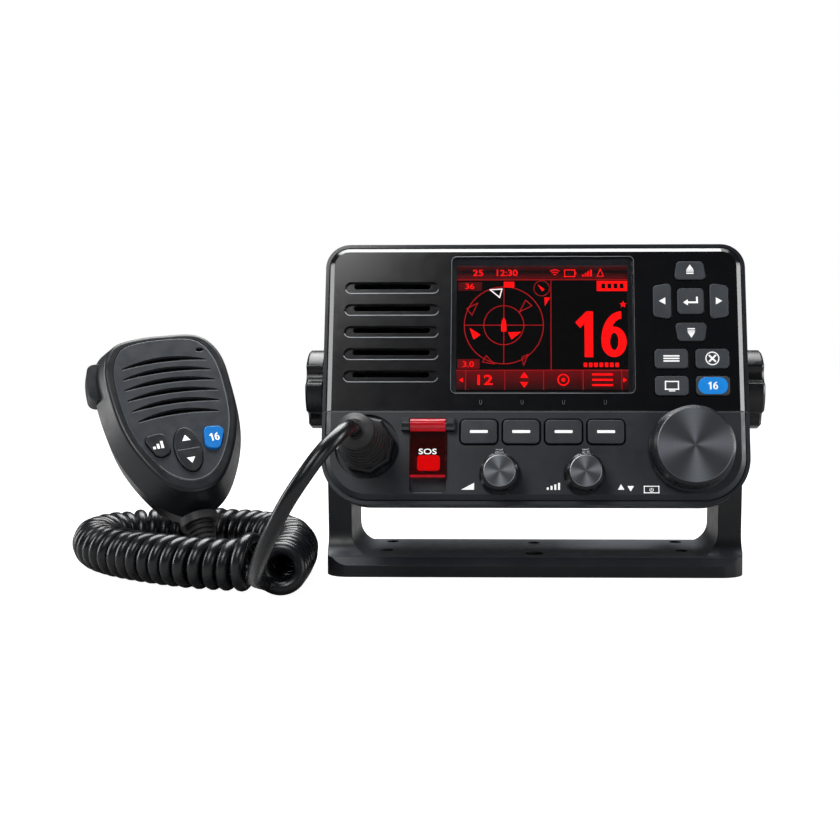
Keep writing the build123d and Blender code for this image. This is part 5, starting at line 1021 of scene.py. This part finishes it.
# Signs over the soft keys: arrows up and down, a target, three bars, arrows at both sides.
marks.triangle(-4.4, -1.2, 3.4, 2.4).triangle(-4.4, -5.3, 3.4, 2.4, 180)
marks.ring(11.5, -3.2, 2.2, 0.5, steps=40).disc(11.5, -3.2, 0.8)
for row in (-1.0, -3.2, -5.4):
    marks.box(23.2, row - 0.4, 31.6, row + 0.4)
marks.triangle(-30.1, -3.3, 2.0, 1.6, 90).triangle(36.5, -3.3, 2.0, 1.6, -90)
on_screen(marks, "screen_marks", "lit_red", 0.03)

target = Art().outline([(-18.4, 34.6), (-13.6, 34.9), (-14.5, 31.4)], 0.45)
on_screen(target, "screen_target", "lit_white", 0.03)
standby = Art()
for bar in range(4):
    standby.box(27.3 + bar * 2.5, 35.1, 28.9 + bar * 2.5, 37.2)
on_screen(standby, "screen_standby", "display", 0.045)

# ---------------------------------------------------------------- distress cover
cover_x, _, _ = RADIO.middle("distress_cover")
sos = Art().number("SOS", cover_x, -33.3, 2.3, 7.2, 0.015)
sos.lay("cover_print", RADIO, 2.2, "print_white", "distress_cover", 0.03)


# ---------------------------------------------------------------- microphone
def power_mark(art, x, y):
    for bar in range(3):
        art.box(x - 2.3 + bar * 1.7, y - 1.7, x - 1.2 + bar * 1.7, y - 0.5 + bar * 1.1)


def rocker_mark(art, x, y):
    art.triangle(x, y + 5.4, 3.6, 2.8).triangle(x, y - 5.4, 3.6, 2.8, 180)


def sixteen_mark(art, x, y):
    art.sixteen(x, y, 4.2, 3.6)


def raised(points, height):
    return [(x, y + height) for x, y in points]


# Each slot of the grille is an arc with painted shade inside it and a painted highlight on the lip below.
HALF_STEPS = 12
GRILLE_TOP, GRILLE_PITCH = 42.7, 5.25
LOW_RISE, HIGH_RISE = 1.5, 3.4
parts = [step / HALF_STEPS for step in range(-HALF_STEPS, HALF_STEPS + 1)]
grille_highlights, grille_shades = Art(), Art()
for row, half in enumerate((18.4, 19.1, 19.7, 19.6, 18.8, 17.2)):
    foot = GRILLE_TOP - GRILLE_PITCH * row
    low, high = (
        [(half * part, foot + rise * (1 - part ** 2)) for part in parts] for rise in (LOW_RISE, HIGH_RISE)
    )
    grille_highlights.band(raised(low, -0.72), raised(low, -0.3))
    grille_shades.band(raised(low, -0.3), low)
    grille_shades.band(high, raised(high, 0.35))
grille_highlights.lay("grille_highlights", MIC, 0.0, "highlight_grey", "bracket", 0.02)
grille_shades.lay("grille_shades", MIC, 0.0, "cone", "bracket", 0.02)

# Painted highlight along the panel's rim, at its foot and up its right side to the shoulder.
PANEL_MIDDLE_Y = 18.0


def turn_round_panel(point):
    return math.atan2(point[1] - PANEL_MIDDLE_Y, point[0])


panel = bpy.data.objects["mic_front_panel"].data
panel_points = [v.co / MM - MIC_AT for v in panel.vertices]
flat_points = [(p.dot(MIC_ACROSS), p.dot(MIC_UP)) for p in panel_points]
outer_line = [flat_points[i] for i in convex_hull_2d(flat_points)]
outer_line = sorted((p for p in outer_line if -2.1 < turn_round_panel(p) < 1.1), key=turn_round_panel)
inner_line = [(x * 0.975, PANEL_MIDDLE_Y + (y - PANEL_MIDDLE_Y) * 0.983) for x, y in outer_line]
Art().band(outer_line, inner_line).lay("panel_rim_highlight", MIC, 0.0, "highlight_grey", "bracket", 0.04)

rocker_top = MIC.middle("mic_rocker")[2]
# A thin ridge across the rocker, lighter grey as a painted highlight.
rocker_ridge_highlight = Art().box(-4.6, -0.14, 4.6, 0.14)
rocker_ridge_highlight.lay("rocker_ridge_highlight", MIC, rocker_top - 0.25, "print_grey", "mic_rocker", 0.3)
for key, mark in (
    ("mic_key_power", power_mark), ("mic_key_sixteen", sixteen_mark), ("mic_rocker", rocker_mark),
):
    on_key(key, mark, MIC)


# ---------------------------------------------------------------- floor, light and world
def floor_material(name, grey):
    """Grey floor that glows for the camera alone, which sees it as nearly white."""
    n = Nodes(name)
    colour = (grey, grey, grey)
    seen_by_camera = n.add("ShaderNodeLightPath").outputs["Is Camera Ray"]
    n.keep(n.principled({
        "Base Color": n.mix(n.noise(3.0, 2.0), toned(colour, 0.99), toned(colour)), "Roughness": 0.8,
        "Specular IOR Level": 0.1, "Emission Color": (1, 1, 1, 1),
        "Emission Strength": n.math("MULTIPLY", seen_by_camera, 0.97),
    }))


floor_material("floor", 0.3)
floor_shape = bmesh.new()
bmesh.ops.create_grid(floor_shape, x_segments=8, y_segments=8, size=8.0)
floor = link("floor", floor_shape, "floor")


def softbox(name, at, width, height, power):
    """Square lamp aimed at the middle of the object."""
    light = bpy.data.lights.new(name, "AREA")
    light.shape = "RECTANGLE"
    light.size, light.size_y = width, height
    light.energy = power
    obj = bpy.data.objects.new(name, light)
    obj.location = at
    aim = Vector((-0.03, 0.0, 0.06)) - Vector(at)
    obj.rotation_euler = aim.to_track_quat("-Z", "Y").to_euler()
    bpy.context.collection.objects.link(obj)


softbox("overhead", (-0.14, 0.3, 0.95), 0.85, 0.7, 17.0)
softbox("front_left", (-0.4, -0.9, 0.92), 0.5, 0.4, 4.5)
softbox("plate_left", (-0.44, -0.95, 0.62), 0.3, 0.36, 1.3)
softbox("front_right", (0.85, -1.0, 0.2), 0.6, 0.6, 2.6)
softbox("left_strip", (-0.9, 0.12, 0.22), 0.25, 0.5, 2.4)
softbox("right_strip", (0.9, 0.12, 0.22), 0.25, 0.5, 2.7)
softbox("back", (0.1, 0.6, 1.0), 0.9, 0.4, 2.5)

world = bpy.data.worlds.new("studio")
bpy.context.scene.world = world
world.use_nodes = True
tree = world.node_tree
tree.nodes.clear()


def backdrop(colour, strength):
    node = tree.nodes.new("ShaderNodeBackground")
    node.inputs["Color"].default_value = colour
    node.inputs["Strength"].default_value = strength
    return node.outputs[0]


# The camera sees white, while the object is lit by a faint cool sky.
both = tree.nodes.new("ShaderNodeMixShader")
tree.links.new(tree.nodes.new("ShaderNodeLightPath").outputs["Is Camera Ray"], both.inputs[0])
tree.links.new(backdrop((0.95, 0.97, 1.0, 1), 0.08), both.inputs[1])
tree.links.new(backdrop((1, 1, 1, 1), 1.0), both.inputs[2])
tree.links.new(both.outputs[0], tree.nodes.new("ShaderNodeOutputWorld").inputs["Surface"])
bpy.context.scene.view_settings.view_transform = "Standard"
